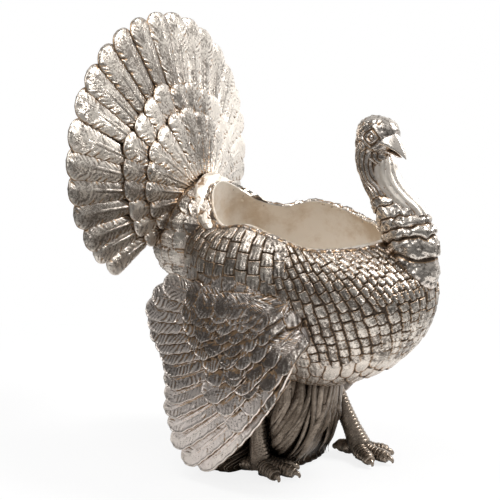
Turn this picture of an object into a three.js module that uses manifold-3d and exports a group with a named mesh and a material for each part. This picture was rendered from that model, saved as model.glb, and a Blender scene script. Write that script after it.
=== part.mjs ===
// A strutting turkey vessel: a cast figure about 455 mm tall, open at the back as a bowl.
// The castings (body, tail fan, wings, neck, head, legs and grass base) meet face to face and are held
// by steel dowels, and the figure stands on felt.
// Lengths are in millimetres. The bird looks along +X, its left side is +Y, and the table is z = 0.
import * as THREE from "three";
import { mergeVertices } from "three/addons/utils/BufferGeometryUtils.js";
import Module from "manifold-3d";

const wasm = await Module();
wasm.setup();

const halfTurn = Math.PI;
const fullTurn = 2 * Math.PI;
const degree = Math.PI / 180;

// Clearances
const gap = 0.3; // between castings that meet
const pinGap = 0.35; // around and past a dowel
const sliver = 0.04; // edges that the joins leave shorter than this are tidied away
const feltThickness = 1.5;

// Body: a bowl with an oval plan, widest at its waist, with a wavy rim
const body = {
  front: 150, // from the middle to the breast
  rear: 122, // from the middle to the rump
  halfWidth: 98,
  bellyHeight: 88,
  breastWaistHeight: 198,
  rumpWaistHeight: 222,
  rimHeight: 262,
  lipWall: 7,
  floorThickness: 34,
  cavityFront: 108,
  cavityRear: 102,
  cavityHalfWidth: 82,
  cavityWaistHeight: 205,
  upperSweep: 62 * degree, // part of the ellipse used between waist and rim
  rumpTaper: 0.45, // extra power that draws the belly up under the tail
  poleShare: 0.97, // how near the belly's pole the last ring lies
  floorShare: 0.8, // how near the cavity's pole its flat floor starts
  sides: 40,
  lowerRows: 6,
  upperRows: 4,
  cavityRows: 5,
};
// Columns: share of the half turn from breast to rump, rim radius as a share of the girth there, and rim
// height as a share of rimHeight
const rimShares = [
  [0, 0.655, 0.943],
  [0.155, 0.672, 0.935],
  [0.28, 0.765, 0.939],
  [0.435, 0.762, 0.977],
  [0.585, 0.752, 1],
  [0.735, 0.76, 0.972],
  [0.85, 0.772, 1],
  [0.94, 0.81, 1.068],
  [1, 0.815, 1.09],
];

// Tail fan: feathers on a cone that opens backwards from the root
const tail = {
  rootBehind: 118, // the cone's point, behind the body's middle
  rootHeight: 270,
  sweep: 16.5 * degree, // how far each feather leans back from upright
  meanReach: 151,
  topReach: 48, // added at the top feather, taken off opposite it
  sideReach: 8, // added at both sides, taken off at the top and opposite it
  featherThickness: 6,
  edgeThickness: 2.6,
  edgeTilt: 0.1, // each feather's outer edge stands proud of the next feather
};
// The plate that the rows are cast on, in steps: share of the reach, and lift off the cone as a share of
// featherThickness
const tailPlateShares = [
  [0.06, 1.25],
  [0.41, 1.25],
  [0.43, 0.6],
  [0.56, 0.6],
  [0.58, -0.08],
  [0.64, -0.08],
  [0.64, -0.7],
  [0.06, -1.4],
];
// Rows from the rim of the fan inwards: feather count, spread on each side, start and end as shares of the
// reach, width as a share of the pitch, and lift off the cone as a share of featherThickness
const tailRows = [
  { count: 25, spread: 120 * degree, startShare: 0.5, endShare: 1, widthShare: 1.12, liftShare: 0 },
  { count: 17, spread: 116 * degree, startShare: 0.38, endShare: 0.6, widthShare: 1.12, liftShare: 0.67 },
  { count: 19, spread: 140 * degree, startShare: 0.12, endShare: 0.455, widthShare: 1.12, liftShare: 1.33 },
];
// Rows on the back of the plate, in the same columns, with their ridges facing back
const tailBackRows = [
  { count: 19, spread: 120 * degree, startShare: 0.34, endShare: 0.74, widthShare: 1.12, liftShare: -0.7 },
  { count: 15, spread: 126 * degree, startShare: 0.1, endShare: 0.5, widthShare: 1.12, liftShare: -1.35 },
];
// Columns: share of the feather's length, and half width as a share of the full one
const tailFeatherShares = [
  [0, 0.3],
  [0.55, 0.72],
  [0.9, 1],
  [1, 0.46],
];

// Root block that carries the fan on the rump
const tailRoot = {
  reach: 34, // back from the rump
  halfWidth: 58,
  lowHeight: 178,
  highHeight: 288,
  start: 92, // where the block starts, behind the body's middle
  sides: 14,
};
// Columns: share of the block's length, and girth as a share of the full one
const tailRootShares = [
  [0, 1],
  [0.45, 1],
  [0.75, 0.9],
  [0.93, 0.7],
  [1, 0.48],
];

// Wing: long feathers that fan down from the shoulder over a bulged skin
const wing = {
  proud: 14, // of the skin at its fullest, beyond the body's half width
  bulgeAhead: 15,
  bulgeHeight: 85,
  lengthFlatness: 32, // the skin falls off as the square of the distance over these
  heightFlatness: 29.3,
  rumpTuckDepth: 15, // how far the skin turns in towards the rump
  tuckStart: 15,
  tuckLength: 100,
  tuckLowHeight: 110,
  tuckHeightSpan: 100,
  featherThickness: 6,
  edgeThickness: 2.4,
  featherWidth: 21,
  bow: 11,
  topBow: 3,
  layerLift: 3,
  padHalfLength: 82,
  padHalfHeight: 40,
  padThickness: 26,
  padAhead: -8,
  padHeight: 190,
  padSink: 14,
  padSides: 18,
};
// Tips and roots of the flight feathers, lowest first: x and height as shares of the wing's own reach
const wingReach = { back: 136, up: 200 };
const wingTipShares = [
  [-0.39, 0.085],
  [-0.54, 0.09],
  [-0.64, 0.17],
  [-0.66, 0.261],
  [-0.7, 0.34],
  [-0.69, 0.416],
  [-0.7, 0.495],
  [-0.715, 0.565],
  [-0.76, 0.625],
  [-0.82, 0.67],
  [-0.893, 0.712],
  [-0.94, 0.765],
  [-0.99, 0.82],
  [-0.95, 0.89],
  [-0.86, 0.955],
];
const wingRootShares = { firstX: 0.46, firstZ: 0.8, lastX: -0.12, lastZ: 0.97 };
const wingFeatherShares = [
  [0, 0.34],
  [0.3, 0.78],
  [0.86, 1],
  [1, 0.45],
];
const covertLengthShare = 0.52;
const covertEvery = 2;

// Neck: stations up the middle plane
const neckSides = 16;
const foldDepth = 1.6;
const neck = {
  ahead: 130,
  footHeight: 198.4, // on the breast
  rise: 121.6, // from the foot to the throat
  halfDepth: 30,
  halfWidth: 21,
  splitDrop: 12, // from the throat down to where the head casting meets the neck casting
};
// Columns: x, share of the rise, half depth and half width as shares, and lean of the ring back from level
// in degrees
const neckShares = [
  [1.03, 0, 0.38, 0.42, 0],
  [1.025, 0.066, 0.62, 0.7, 0],
  [1.01, 0.171, 0.78, 0.84, 0],
  [0.995, 0.289, 0.9, 0.92, 2],
  [0.975, 0.408, 0.97, 0.96, 5],
  [0.935, 0.539, 0.96, 0.96, 12],
  [0.885, 0.658, 0.94, 0.9, 22],
  [0.81, 0.763, 0.86, 0.78, 26],
  [0.735, 0.882, 0.76, 0.66, 20],
  [0.67, 1, 0.74, 0.64, 10],
  [0.655, 1.092, 0.7, 0.62, 4],
];
const neckFolds = 6; // the lowest stations alternate between fold and crease

// Head, in its own axes: x along the beak from the skull's middle
const head = {
  setBack: 42, // of the skull's middle from the neck's foot
  rise: 27, // of the skull's middle above the throat
  halfLength: 27,
  halfHeight: 22,
  halfWidth: 17,
  turn: -14 * degree, // towards the right wing
  sides: 14,
};
// Columns: x as a share of halfLength, drop of the ring's middle, half height and half width as shares
const headShares = [
  [-0.98, 0.05, 0.3, 0.3],
  [-0.8, 0.03, 0.66, 0.66],
  [-0.4, 0, 0.95, 0.94],
  [0.05, 0, 1, 1],
  [0.45, 0.04, 0.93, 0.88],
  [0.75, 0.1, 0.7, 0.66],
  [0.97, 0.14, 0.4, 0.38],
];
const beakShares = [
  [0.35, -0.28, 0.42, 0.66],
  [0.75, -0.33, 0.42, 0.56],
  [1.05, -0.42, 0.32, 0.34],
  [1.25, -0.6, 0.17, 0.15],
  [1.34, -0.78, 0.05, 0.05],
];
const eye = { radius: 4, ahead: 6, rise: 3, sink: 2.2 };

// Legs and feet
const leg = {
  ankleHeight: 22,
  shankRadius: 7.5,
  cuffHeight: 96,
  cuffHalfLength: 22,
  cuffHalfWidth: 18,
  cuffHalfHeight: 26,
  topHeight: 92,
  toeReach: 44, // of the middle toe, from the ankle
  toeRadius: 6.4,
  toeSides: 8,
  shankSides: 10,
};
// Where each ankle stands, and how far the shank's top stands behind it
const rightFoot = { ahead: -17, aside: -46, topBehind: 4 };
const leftFoot = { ahead: 43, aside: 48, topBehind: 38 };
// Toes: turn from straight ahead (outwards is positive) and reach as a share of toeReach
const toes = [
  { turn: 27 * degree, reachShare: 0.82 },
  { turn: -5 * degree, reachShare: 1 },
  { turn: -36 * degree, reachShare: 0.86 },
  { turn: 174 * degree, reachShare: 0.55 },
];
const shankShares = [1.25, 1, 0.95, 1.1, 1.3];
// Columns: share of the reach, height of the middle and radius as shares of toeRadius
const toeShares = [
  [-0.1, 1.2, 1.1],
  [0.18, 1.05, 1.12],
  [0.5, 0.88, 0.95],
  [0.8, 0.82, 0.88],
  [0.9, 0.7, 0.62],
  [1, 0.45, 0.3],
];

// Base of long grass that carries the belly
const base = {
  footAhead: -42,
  footHalfLength: 56,
  footHalfWidth: 72,
  footSkew: 0.22, // the left side stands further forward than the right, by this share of the width
  topAhead: -3,
  topHalfLength: 46,
  topHalfWidth: 49,
  topHeight: 122,
  fluteDepthShare: 0.045,
  sides: 40,
};
// Columns: share of the height, and share of the way from the foot's outline to the top's
const baseShares = [
  [0, 0.06],
  [0.05, 0],
  [0.2, 0.38],
  [0.42, 0.72],
  [0.7, 0.94],
  [1, 1],
];
const feltInsetShare = 0.68;
const feltSides = 28;

// Steel dowels between the castings: radius, length, and where each one's middle lies
const steel = {
  neckRadius: 5,
  neckLength: 46,
  neckRise: 35.2, // of the dowel's middle above the neck's foot
  headRadius: 3,
  headLength: 30,
  tailRadius: 4,
  tailLength: 30,
  tailSpacing: 32,
  tailHeight: 222,
  wingRadius: 3,
  wingLength: 15,
  wingSpacing: 60,
  wingHeight: 186,
  wingSink: 8,
  legRadius: 3,
  legLow: 26,
  legHigh: 119,
  studRadius: 5,
  studLow: 44,
  studHigh: 110,
  studAhead: -12,
  sides: 14,
};

// Colours
const silver = new THREE.MeshStandardMaterial({ color: 0xb9b4ab, roughness: 0.36, metalness: 0.9 });
const darkSilver = new THREE.MeshStandardMaterial({ color: 0x6d6359, roughness: 0.45, metalness: 0.8 });
const bareSteel = new THREE.MeshStandardMaterial({ color: 0x8b9097, roughness: 0.3, metalness: 1 });
const felt = new THREE.MeshStandardMaterial({ color: 0x2c2a28, roughness: 1, metalness: 0 });

// Solids

function solidOf(geometry) {
  const bare = geometry.clone();
  bare.deleteAttribute("normal");
  bare.deleteAttribute("uv");
  const merged = mergeVertices(bare, 1e-4);
  return new wasm.Manifold(
    new wasm.Mesh({
      numProp: 3,
      vertProperties: new Float32Array(merged.attributes.position.array),
      triVerts: new Uint32Array(merged.index.array),
    }),
  );
}

function geometryOf(solid) {
  const mesh = solid.getMesh();
  const positions = new Float32Array(mesh.numVert * 3);
  for (let i = 0; i < mesh.numVert; i++) {
    positions.set(mesh.vertProperties.subarray(i * mesh.numProp, i * mesh.numProp + 3), i * 3);
  }
  return new THREE.BufferGeometry()
    .setAttribute("position", new THREE.BufferAttribute(positions, 3))
    .setIndex(new THREE.BufferAttribute(new Uint32Array(mesh.triVerts), 1));
}

// A closed solid through rings of equal point counts, with a fan over each end.
function loft(rings) {
  const sides = rings[0].length;
  const points = rings.flat();
  const middles = [rings[0], rings[rings.length - 1]].map((ring) =>
    ring.reduce((sum, p) => sum.add(p), new THREE.Vector3()).divideScalar(sides),
  );
  const faces = [];
  for (let r = 0; r + 1 < rings.length; r++) {
    for (let s = 0; s < sides; s++) {
      const a = r * sides + s;
      const b = r * sides + ((s + 1) % sides);
      faces.push([a, b, b + sides], [a, b + sides, a + sides]);
    }
  }
  const last = (rings.length - 1) * sides;
  for (let s = 0; s < sides; s++) {
    const next = (s + 1) % sides;
    faces.push([points.length, next, s], [points.length + 1, last + s, last + next]);
  }
  const all = [...points, ...middles];
  const volume = faces.reduce((sum, [a, b, c]) => sum + all[a].dot(all[b].clone().cross(all[c])), 0);
  if (volume < 0) faces.forEach((face) => face.reverse());
  const geometry = new THREE.BufferGeometry()
    .setAttribute("position", new THREE.Float32BufferAttribute(all.flatMap((p) => p.toArray()), 3))
    .setIndex(faces.flat());
  return solidOf(geometry);
}

function join(solids) {
  return solids.reduce((whole, solid) => whole.add(solid));
}

// The largest body of a solid, with any sealed bubble in it filled.
function oneBody(solid) {
  return solid.decompose().reduce((best, body) => (body.volume() > best.volume() ? body : best));
}

// Smooth value of a table's column at x, level at both ends.
function tableAt(table, x, column) {
  let i = 0;
  while (i < table.length - 2 && x > table[i + 1][0]) i++;
  const [before, from, to, after] = [table[i - 1], table[i], table[i + 1], table[i + 2]];
  const span = to[0] - from[0];
  const t = Math.min(Math.max((x - from[0]) / span, 0), 1);
  const slopeFrom = before ? ((to[column] - before[column]) / (to[0] - before[0])) * span : 0;
  const slopeTo = after ? ((after[column] - from[column]) / (after[0] - from[0])) * span : 0;
  const [t2, t3] = [t * t, t * t * t];
  return (
    from[column] * (2 * t3 - 3 * t2 + 1) +
    slopeFrom * (t3 - 2 * t2 + t) +
    to[column] * (3 * t2 - 2 * t3) +
    slopeTo * (t3 - t2)
  );
}

function ramp(x, low, span) {
  const t = Math.min(Math.max((x - low) / span, 0), 1);
  return t * t * (3 - 2 * t);
}

function ellipseReach(angle, front, rear, halfWidth) {
  const length = Math.cos(angle) > 0 ? front : rear;
  return 1 / Math.hypot(Math.cos(angle) / length, Math.sin(angle) / halfWidth);
}

// A bar with round ends square to its line, from one point to another.
function rod(from, to, radius) {
  const along = to.clone().sub(from);
  const geometry = new THREE.CylinderGeometry(radius, radius, along.length(), steel.sides);
  const turn = new THREE.Quaternion().setFromUnitVectors(new THREE.Vector3(0, 1, 0), along.clone().normalize());
  geometry.applyQuaternion(turn);
  const middle = from.clone().add(to).multiplyScalar(0.5);
  geometry.translate(middle.x, middle.y, middle.z);
  return solidOf(geometry);
}

// The hole for a rod, with its clearance all round and at both ends.
function rodHole([from, to, radius]) {
  const past = to.clone().sub(from).setLength(pinGap);
  return rod(from.clone().sub(past), to.clone().add(past), radius + pinGap);
}

// Body

function rimAt(angle) {
  const share = Math.abs(Math.atan2(Math.sin(angle), Math.cos(angle))) / halfTurn;
  return {
    radius: tableAt(rimShares, share, 1) * ellipseReach(angle, body.front, body.rear, body.halfWidth),
    height: tableAt(rimShares, share, 2) * body.rimHeight,
  };
}

// A point of the outer skin: v runs from -1 at the belly through 0 at the waist to 1 at the rim.
function bodyPoint(angle, v, grow = 0) {
  const girth = ellipseReach(angle, body.front + grow, body.rear + grow, body.halfWidth + grow);
  const rearShare = (1 - Math.cos(angle)) / 2;
  const waist = THREE.MathUtils.lerp(body.breastWaistHeight, body.rumpWaistHeight, rearShare);
  const rim = rimAt(angle);
  let radius;
  let z;
  if (v >= 0) {
    const t = v * body.upperSweep;
    const inward = (1 - Math.cos(t)) / (1 - Math.cos(body.upperSweep));
    radius = girth - (girth - rim.radius - grow) * inward;
    z = waist + ((rim.height + grow - waist) * Math.sin(t)) / Math.sin(body.upperSweep);
  } else {
    const t = (-v * halfTurn) / 2;
    radius = girth * Math.pow(Math.cos(t), 1 + body.rumpTaper * rearShare);
    z = waist - (waist - body.bellyHeight + grow) * Math.sin(t);
  }
  return new THREE.Vector3(radius * Math.cos(angle), radius * Math.sin(angle), z);
}

// How far from the middle plane the skin lies under the waist, at a place along and up the body.
function bodySkin(x, z) {
  let [inner, outer] = [0, 2 * body.halfWidth];
  for (let i = 0; i < 40; i++) {
    const y = (inner + outer) / 2;
    const angle = Math.atan2(y, x);
    const rearShare = (1 - Math.cos(angle)) / 2;
    const waist = THREE.MathUtils.lerp(body.breastWaistHeight, body.rumpWaistHeight, rearShare);
    const v = (-2 * Math.asin(Math.min(Math.max((waist - z) / (waist - body.bellyHeight), 0), 1))) / halfTurn;
    const skin = bodyPoint(angle, v);
    if (Math.hypot(x, y) < Math.hypot(skin.x, skin.y)) inner = y;
    else outer = y;
  }
  return inner;
}

function cavityPoint(angle, v) {
  const girth = ellipseReach(angle, body.cavityFront, body.cavityRear, body.cavityHalfWidth);
  const rim = rimAt(angle);
  let radius;
  let z;
  if (v >= 0) {
    const t = v * body.upperSweep;
    const inward = (1 - Math.cos(t)) / (1 - Math.cos(body.upperSweep));
    radius = girth - (girth - rim.radius + body.lipWall) * inward;
    const rise = rim.height - body.cavityWaistHeight;
    z = body.cavityWaistHeight + (rise * Math.sin(t)) / Math.sin(body.upperSweep);
  } else {
    const t = (-v * halfTurn) / 2;
    radius = girth * Math.pow(Math.cos(t), 0.7);
    const floorDrop = Math.sin((body.floorShare * halfTurn) / 2);
    const depth = body.cavityWaistHeight - body.bellyHeight - body.floorThickness;
    z = body.cavityWaistHeight - (depth * Math.sin(t)) / floorDrop;
  }
  return new THREE.Vector3(radius * Math.cos(angle), radius * Math.sin(angle), z);
}

function around(count, pointAt) {
  return Array.from({ length: count }, (_, i) => pointAt((i / count) * fullTurn));
}

function bodyRows(grow) {
  const rows = [];
  for (let i = body.lowerRows; i > 0; i--) {
    const v = -Math.min(i / body.lowerRows, body.poleShare);
    rows.push(around(body.sides, (angle) => bodyPoint(angle, v, grow)));
  }
  for (let i = 0; i <= body.upperRows; i++) {
    rows.push(around(body.sides, (angle) => bodyPoint(angle, i / body.upperRows, grow)));
  }
  return rows;
}

function makeBodyShell() {
  const rows = bodyRows(0);
  for (let i = body.cavityRows; i >= 0; i--) {
    rows.push(around(body.sides, (angle) => cavityPoint(angle, i / body.cavityRows)));
  }
  for (let i = 1; i <= body.cavityRows; i++) {
    const v = (-i / body.cavityRows) * body.floorShare;
    rows.push(around(body.sides, (angle) => cavityPoint(angle, v)));
  }
  return loft(rows);
}

// The body's outer form, grown by the gap, which the castings that lie on it are cut by
function makeBodyCutter() {
  const lipInside = around(body.sides, (angle) => {
    const rim = rimAt(angle);
    const radius = rim.radius - body.lipWall - gap;
    return new THREE.Vector3(radius * Math.cos(angle), radius * Math.sin(angle), rim.height + gap);
  });
  return loft([...bodyRows(gap), lipInside]);
}

const bodyCutter = makeBodyCutter();

// Feathers

// A feather with a ridged back. place(along, across, lift) maps its own lengths to the model.
function featherSolid(place, shares, halfWidth, thickness, edge) {
  const rings = shares.map(([along, widthShare]) => {
    const w = halfWidth * widthShare;
    return [
      place(along, -w, edge / 2),
      place(along, 0, thickness / 2),
      place(along, w, edge / 2),
      place(along, w, -edge / 2),
      place(along, -w, -edge / 2),
    ];
  });
  return loft(rings);
}

// Tail fan

function tailReach(angle) {
  return tail.meanReach + tail.topReach * Math.cos(angle) - tail.sideReach * Math.cos(2 * angle);
}

// A point on the fan's cone: angle from the top feather towards the right wing, distance from the root,
// sideways offset and lift off the front of the cone.
function fanPoint(angle, reach, across, lift) {
  const out = new THREE.Vector3(
    -Math.sin(tail.sweep),
    -Math.cos(tail.sweep) * Math.sin(angle),
    Math.cos(tail.sweep) * Math.cos(angle),
  );
  const side = new THREE.Vector3(0, -Math.cos(angle), -Math.sin(angle));
  const face = out.clone().cross(side);
  return new THREE.Vector3(-tail.rootBehind, 0, tail.rootHeight)
    .addScaledVector(out, reach)
    .addScaledVector(side, across)
    .addScaledVector(face, lift);
}

function tailRowFeathers(row) {
  return Array.from({ length: row.count }, (_, i) => {
    const middle = (row.count - 1) / 2;
    const pitch = row.spread / middle;
    const angle = (i - middle) * pitch;
    const reach = tailReach(angle);
    const facing = row.liftShare < 0 ? -1 : 1;
    const tilt = tail.edgeTilt * Math.sign(i - middle);
    const halfWidth = (reach * row.endShare * pitch * row.widthShare) / 2;
    const place = (along, across, lift) => {
      const share = THREE.MathUtils.lerp(row.startShare, row.endShare, along);
      const off = row.liftShare * tail.featherThickness + facing * (lift + tilt * across);
      return fanPoint(angle, reach * share, across, off);
    };
    return featherSolid(place, tailFeatherShares, halfWidth, tail.featherThickness, tail.edgeThickness);
  });
}

function makeTailPlate() {
  const steps = 24;
  const spread = tailRows[0].spread;
  const rings = Array.from({ length: steps + 1 }, (_, i) => {
    const angle = (i / steps - 0.5) * 2 * spread;
    const reach = tailReach(angle);
    return tailPlateShares.map(([out, lift]) => fanPoint(angle, reach * out, 0, lift * tail.featherThickness));
  });
  return loft(rings);
}

function makeTailRoot() {
  const rings = tailRootShares.map(([share, narrow]) => {
    const x = -tailRoot.start - share * (tailRoot.reach + body.rear - tailRoot.start);
    const middle = (tailRoot.lowHeight + tailRoot.highHeight) / 2;
    const halfHeight = (tailRoot.highHeight - tailRoot.lowHeight) / 2;
    return around(
      tailRoot.sides,
      (angle) =>
        new THREE.Vector3(
          x,
          tailRoot.halfWidth * narrow * Math.cos(angle),
          middle + halfHeight * narrow * Math.sin(angle),
        ),
    );
  });
  return loft(rings);
}

function makeTailFan() {
  const feathers = [...tailRows, ...tailBackRows].flatMap(tailRowFeathers);
  return join([makeTailPlate(), makeTailRoot(), ...feathers]).subtract(bodyCutter);
}

// Wings

function wingSkin(x, z) {
  const fall = ((x - wing.bulgeAhead) / wing.lengthFlatness) ** 2 + ((z - wing.bulgeHeight) / wing.heightFlatness) ** 2;
  const tuck = ramp(-x, wing.tuckStart, wing.tuckLength) * ramp(z, wing.tuckLowHeight, wing.tuckHeightSpan);
  return body.halfWidth + wing.proud - fall - wing.rumpTuckDepth * tuck;
}

function wingFeather(side, root, tip, bow, lift, halfWidth) {
  const run = tip.clone().sub(root);
  const across = new THREE.Vector2(-run.y, run.x).normalize();
  const place = (along, offset, height) => {
    const bend = bow * Math.sin(along * halfTurn);
    const p = root.clone().addScaledVector(run, along).addScaledVector(across, offset + bend);
    return new THREE.Vector3(p.x, side * (wingSkin(p.x, p.y) + lift * along + height), p.y);
  };
  return featherSolid(place, wingFeatherShares, halfWidth, wing.featherThickness, wing.edgeThickness);
}

function makeWing(side) {
  const count = wingTipShares.length;
  const feathers = wingTipShares.flatMap(([tipX, tipZ], i) => {
    const t = i / (count - 1);
    const root = new THREE.Vector2(
      wingReach.back * THREE.MathUtils.lerp(wingRootShares.firstX, wingRootShares.lastX, t),
      wingReach.up * THREE.MathUtils.lerp(wingRootShares.firstZ, wingRootShares.lastZ, t),
    );
    const tip = new THREE.Vector2(wingReach.back * tipX, wingReach.up * tipZ);
    const bow = THREE.MathUtils.lerp(wing.bow, wing.topBow, t);
    const flight = wingFeather(side, root, tip, bow, 0, wing.featherWidth / 2);
    if (i % covertEvery) return [flight];
    const covertTip = root.clone().lerp(tip, covertLengthShare);
    return [flight, wingFeather(side, root, covertTip, bow, wing.layerLift, wing.featherWidth / 2)];
  });
  const pad = loft(
    [-0.96, -0.75, -0.35, 0.1, 0.5, 0.82, 0.97].map((share) => {
      const x = wing.padAhead + share * wing.padHalfLength;
      const round = Math.sqrt(1 - share * share);
      const y = wingSkin(x, wing.padHeight) - wing.padSink;
      return around(
        wing.padSides,
        (angle) =>
          new THREE.Vector3(
            x,
            side * (y + wing.padThickness * round * Math.cos(angle)),
            wing.padHeight + wing.padHalfHeight * round * Math.sin(angle),
          ),
      );
    }),
  );
  return join([pad, ...feathers]).subtract(bodyCutter);
}

// Neck and head

const throatHeight = neck.footHeight + neck.rise;
const splitHeight = throatHeight - neck.splitDrop;

function makeNeckForm() {
  const rings = neckShares.map(([x, z, depth, width, lean], i) => {
    const fold = i < neckFolds ? foldDepth * (i % 2 ? 1 : -1) : 0;
    const tilt = lean * degree;
    return around(neckSides, (angle) => {
      const forward = (neck.halfDepth * depth + fold) * Math.cos(angle);
      return new THREE.Vector3(
        neck.ahead * x + forward * Math.cos(tilt),
        (neck.halfWidth * width + fold) * Math.sin(angle),
        neck.footHeight + neck.rise * z + forward * Math.sin(tilt),
      );
    });
  });
  return loft(rings);
}

function headPoint(x, y, z) {
  return new THREE.Vector3(x, y, z)
    .applyAxisAngle(new THREE.Vector3(0, 0, 1), head.turn)
    .add(new THREE.Vector3(neck.ahead - head.setBack, 0, throatHeight + head.rise));
}

function makeHeadForm() {
  const form = (shares) =>
    loft(
      shares.map(([along, drop, high, wide]) =>
        around(head.sides, (angle) => {
          const across = head.halfWidth * wide * Math.sin(angle);
          return headPoint(head.halfLength * along, across, head.halfHeight * (drop + high * Math.cos(angle)));
        }),
      ),
    );
  const eyes = [1, -1].map((side) => {
    const geometry = new THREE.SphereGeometry(eye.radius, 10, 8);
    const at = headPoint(eye.ahead, side * (head.halfWidth - eye.sink), eye.rise);
    geometry.translate(at.x, at.y, at.z);
    return solidOf(geometry);
  });
  return join([form(headShares), form(beakShares), ...eyes]);
}

// Legs

function pathSolid(points, radii, sides) {
  const rings = points.map((point, i) => {
    const along = points[Math.min(i + 1, points.length - 1)].clone().sub(points[Math.max(i - 1, 0)]).normalize();
    const side = new THREE.Vector3(0, 0, 1).cross(along);
    if (side.length() < 0.3) side.set(0, 1, 0);
    side.normalize();
    const rise = along.clone().cross(side);
    return around(sides, (angle) =>
      point
        .clone()
        .addScaledVector(side, radii[i] * Math.cos(angle))
        .addScaledVector(rise, radii[i] * Math.sin(angle)),
    );
  });
  return loft(rings);
}

function shankPoint(foot, height) {
  const share = (height - leg.ankleHeight) / (leg.topHeight - leg.ankleHeight);
  return new THREE.Vector3(foot.ahead - foot.topBehind * share, foot.aside, height);
}

function makeLeg(foot, grow = 0) {
  const outward = Math.sign(foot.aside);
  const shankRadii = shankShares.map((share) => share * leg.shankRadius + grow);
  const shankPoints = shankRadii.map((_, i) => {
    return shankPoint(foot, THREE.MathUtils.lerp(leg.toeRadius, leg.topHeight, i / (shankRadii.length - 1)));
  });
  const toeSolids = toes.map(({ turn, reachShare }) => {
    const reach = reachShare * leg.toeReach;
    const points = toeShares.map(([along, rise]) => {
      const run = reach * along + grow * Math.sign(along);
      return new THREE.Vector3(
        foot.ahead + run * Math.cos(turn),
        foot.aside + outward * run * Math.sin(turn),
        feltThickness + leg.toeRadius * rise,
      );
    });
    const radii = toeShares.map(([, , radius]) => radius * leg.toeRadius + grow);
    return pathSolid(points, radii, leg.toeSides);
  });
  const cuff = new THREE.SphereGeometry(1, 14, 9);
  cuff.scale(leg.cuffHalfLength + grow, leg.cuffHalfWidth + grow, leg.cuffHalfHeight + grow);
  const cuffAt = shankPoint(foot, leg.cuffHeight);
  cuff.translate(cuffAt.x, cuffAt.y, cuffAt.z);
  const whole = join([pathSolid(shankPoints, shankRadii, leg.shankSides), solidOf(cuff), ...toeSolids]);
  if (grow) return whole;
  return whole.trimByPlane([0, 0, 1], feltThickness + gap).subtract(bodyCutter);
}

// Base

function basePoint(angle, heightShare, blend) {
  const flute = 1 + base.fluteDepthShare * (Math.round((angle / fullTurn) * base.sides) % 2 ? 1 : -1);
  const along = THREE.MathUtils.lerp(base.footHalfLength, base.topHalfLength, blend);
  const across = THREE.MathUtils.lerp(base.footHalfWidth, base.topHalfWidth, blend);
  const middle = THREE.MathUtils.lerp(base.footAhead, base.topAhead, blend);
  const skew = base.footSkew * (1 - blend) * across * Math.sin(angle);
  const bottom = feltThickness + gap;
  return new THREE.Vector3(
    middle + skew + along * flute * Math.cos(angle),
    across * flute * Math.sin(angle),
    bottom + heightShare * (base.topHeight - bottom),
  );
}

function makeBaseForm() {
  return loft(baseShares.map(([high, blend]) => around(base.sides, (angle) => basePoint(angle, high, blend))));
}

function makeFeltSheet() {
  const ring = (z) =>
    around(
      feltSides,
      (angle) =>
        new THREE.Vector3(
          base.footAhead + base.footHalfLength * feltInsetShare * Math.cos(angle),
          base.footHalfWidth * feltInsetShare * Math.sin(angle),
          z,
        ),
    );
  return loft([ring(0), ring(feltThickness)]);
}

function makeFeltDot(foot) {
  const ring = (z) =>
    around(
      feltSides / 2,
      (angle) =>
        new THREE.Vector3(
          foot.ahead + leg.toeRadius * (1 + Math.cos(angle)),
          foot.aside + leg.toeRadius * Math.sin(angle),
          z,
        ),
    );
  return loft([ring(0), ring(feltThickness)]);
}

// Dowels: from, to and radius of each

const at = (x, y, z) => new THREE.Vector3(x, y, z);
const neckRootX = neck.ahead * neckShares[3][0];
const neckRootZ = neck.footHeight + steel.neckRise;
const headRootX = neck.ahead * neckShares[9][0];
const dowels = {
  neck_dowel: [
    at(neckRootX, 0, neckRootZ - steel.neckLength / 2),
    at(neckRootX, 0, neckRootZ + steel.neckLength / 2),
    steel.neckRadius,
  ],
  head_dowel: [
    at(headRootX, 0, splitHeight - steel.headLength / 2),
    at(headRootX, 0, splitHeight + steel.headLength / 2),
    steel.headRadius,
  ],
  base_stud: [at(steel.studAhead, 0, steel.studLow), at(steel.studAhead, 0, steel.studHigh), steel.studRadius],
};
for (const [word, side] of [["left", 1], ["right", -1]]) {
  const y = (side * steel.tailSpacing) / 2;
  const tailMiddle = -body.rear;
  dowels[`tail_dowel_${word}`] = [
    at(tailMiddle - steel.tailLength / 2, y, steel.tailHeight),
    at(tailMiddle + steel.tailLength / 2, y, steel.tailHeight),
    steel.tailRadius,
  ];
  for (const [end, shift] of [["front", 0.5], ["rear", -0.5]]) {
    const x = wing.padAhead + shift * steel.wingSpacing;
    const skin = bodySkin(x, steel.wingHeight);
    dowels[`wing_dowel_${word}_${end}`] = [
      at(x, side * (skin - steel.wingSink), steel.wingHeight),
      at(x, side * (skin - steel.wingSink + steel.wingLength), steel.wingHeight),
      steel.wingRadius,
    ];
  }
  const foot = side > 0 ? leftFoot : rightFoot;
  dowels[`leg_rod_${word}`] = [shankPoint(foot, steel.legLow), shankPoint(foot, steel.legHigh), steel.legRadius];
}

function drill(solid, names) {
  return names.reduce((piece, name) => piece.subtract(rodHole(dowels[name])), solid);
}

// Assembly

const bodyNames = Object.keys(dowels).filter((name) => name !== "head_dowel");
const neckAndHead = join([makeNeckForm(), makeHeadForm()]);
const legCutters = join([makeLeg(rightFoot, gap), makeLeg(leftFoot, gap)]);

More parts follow.
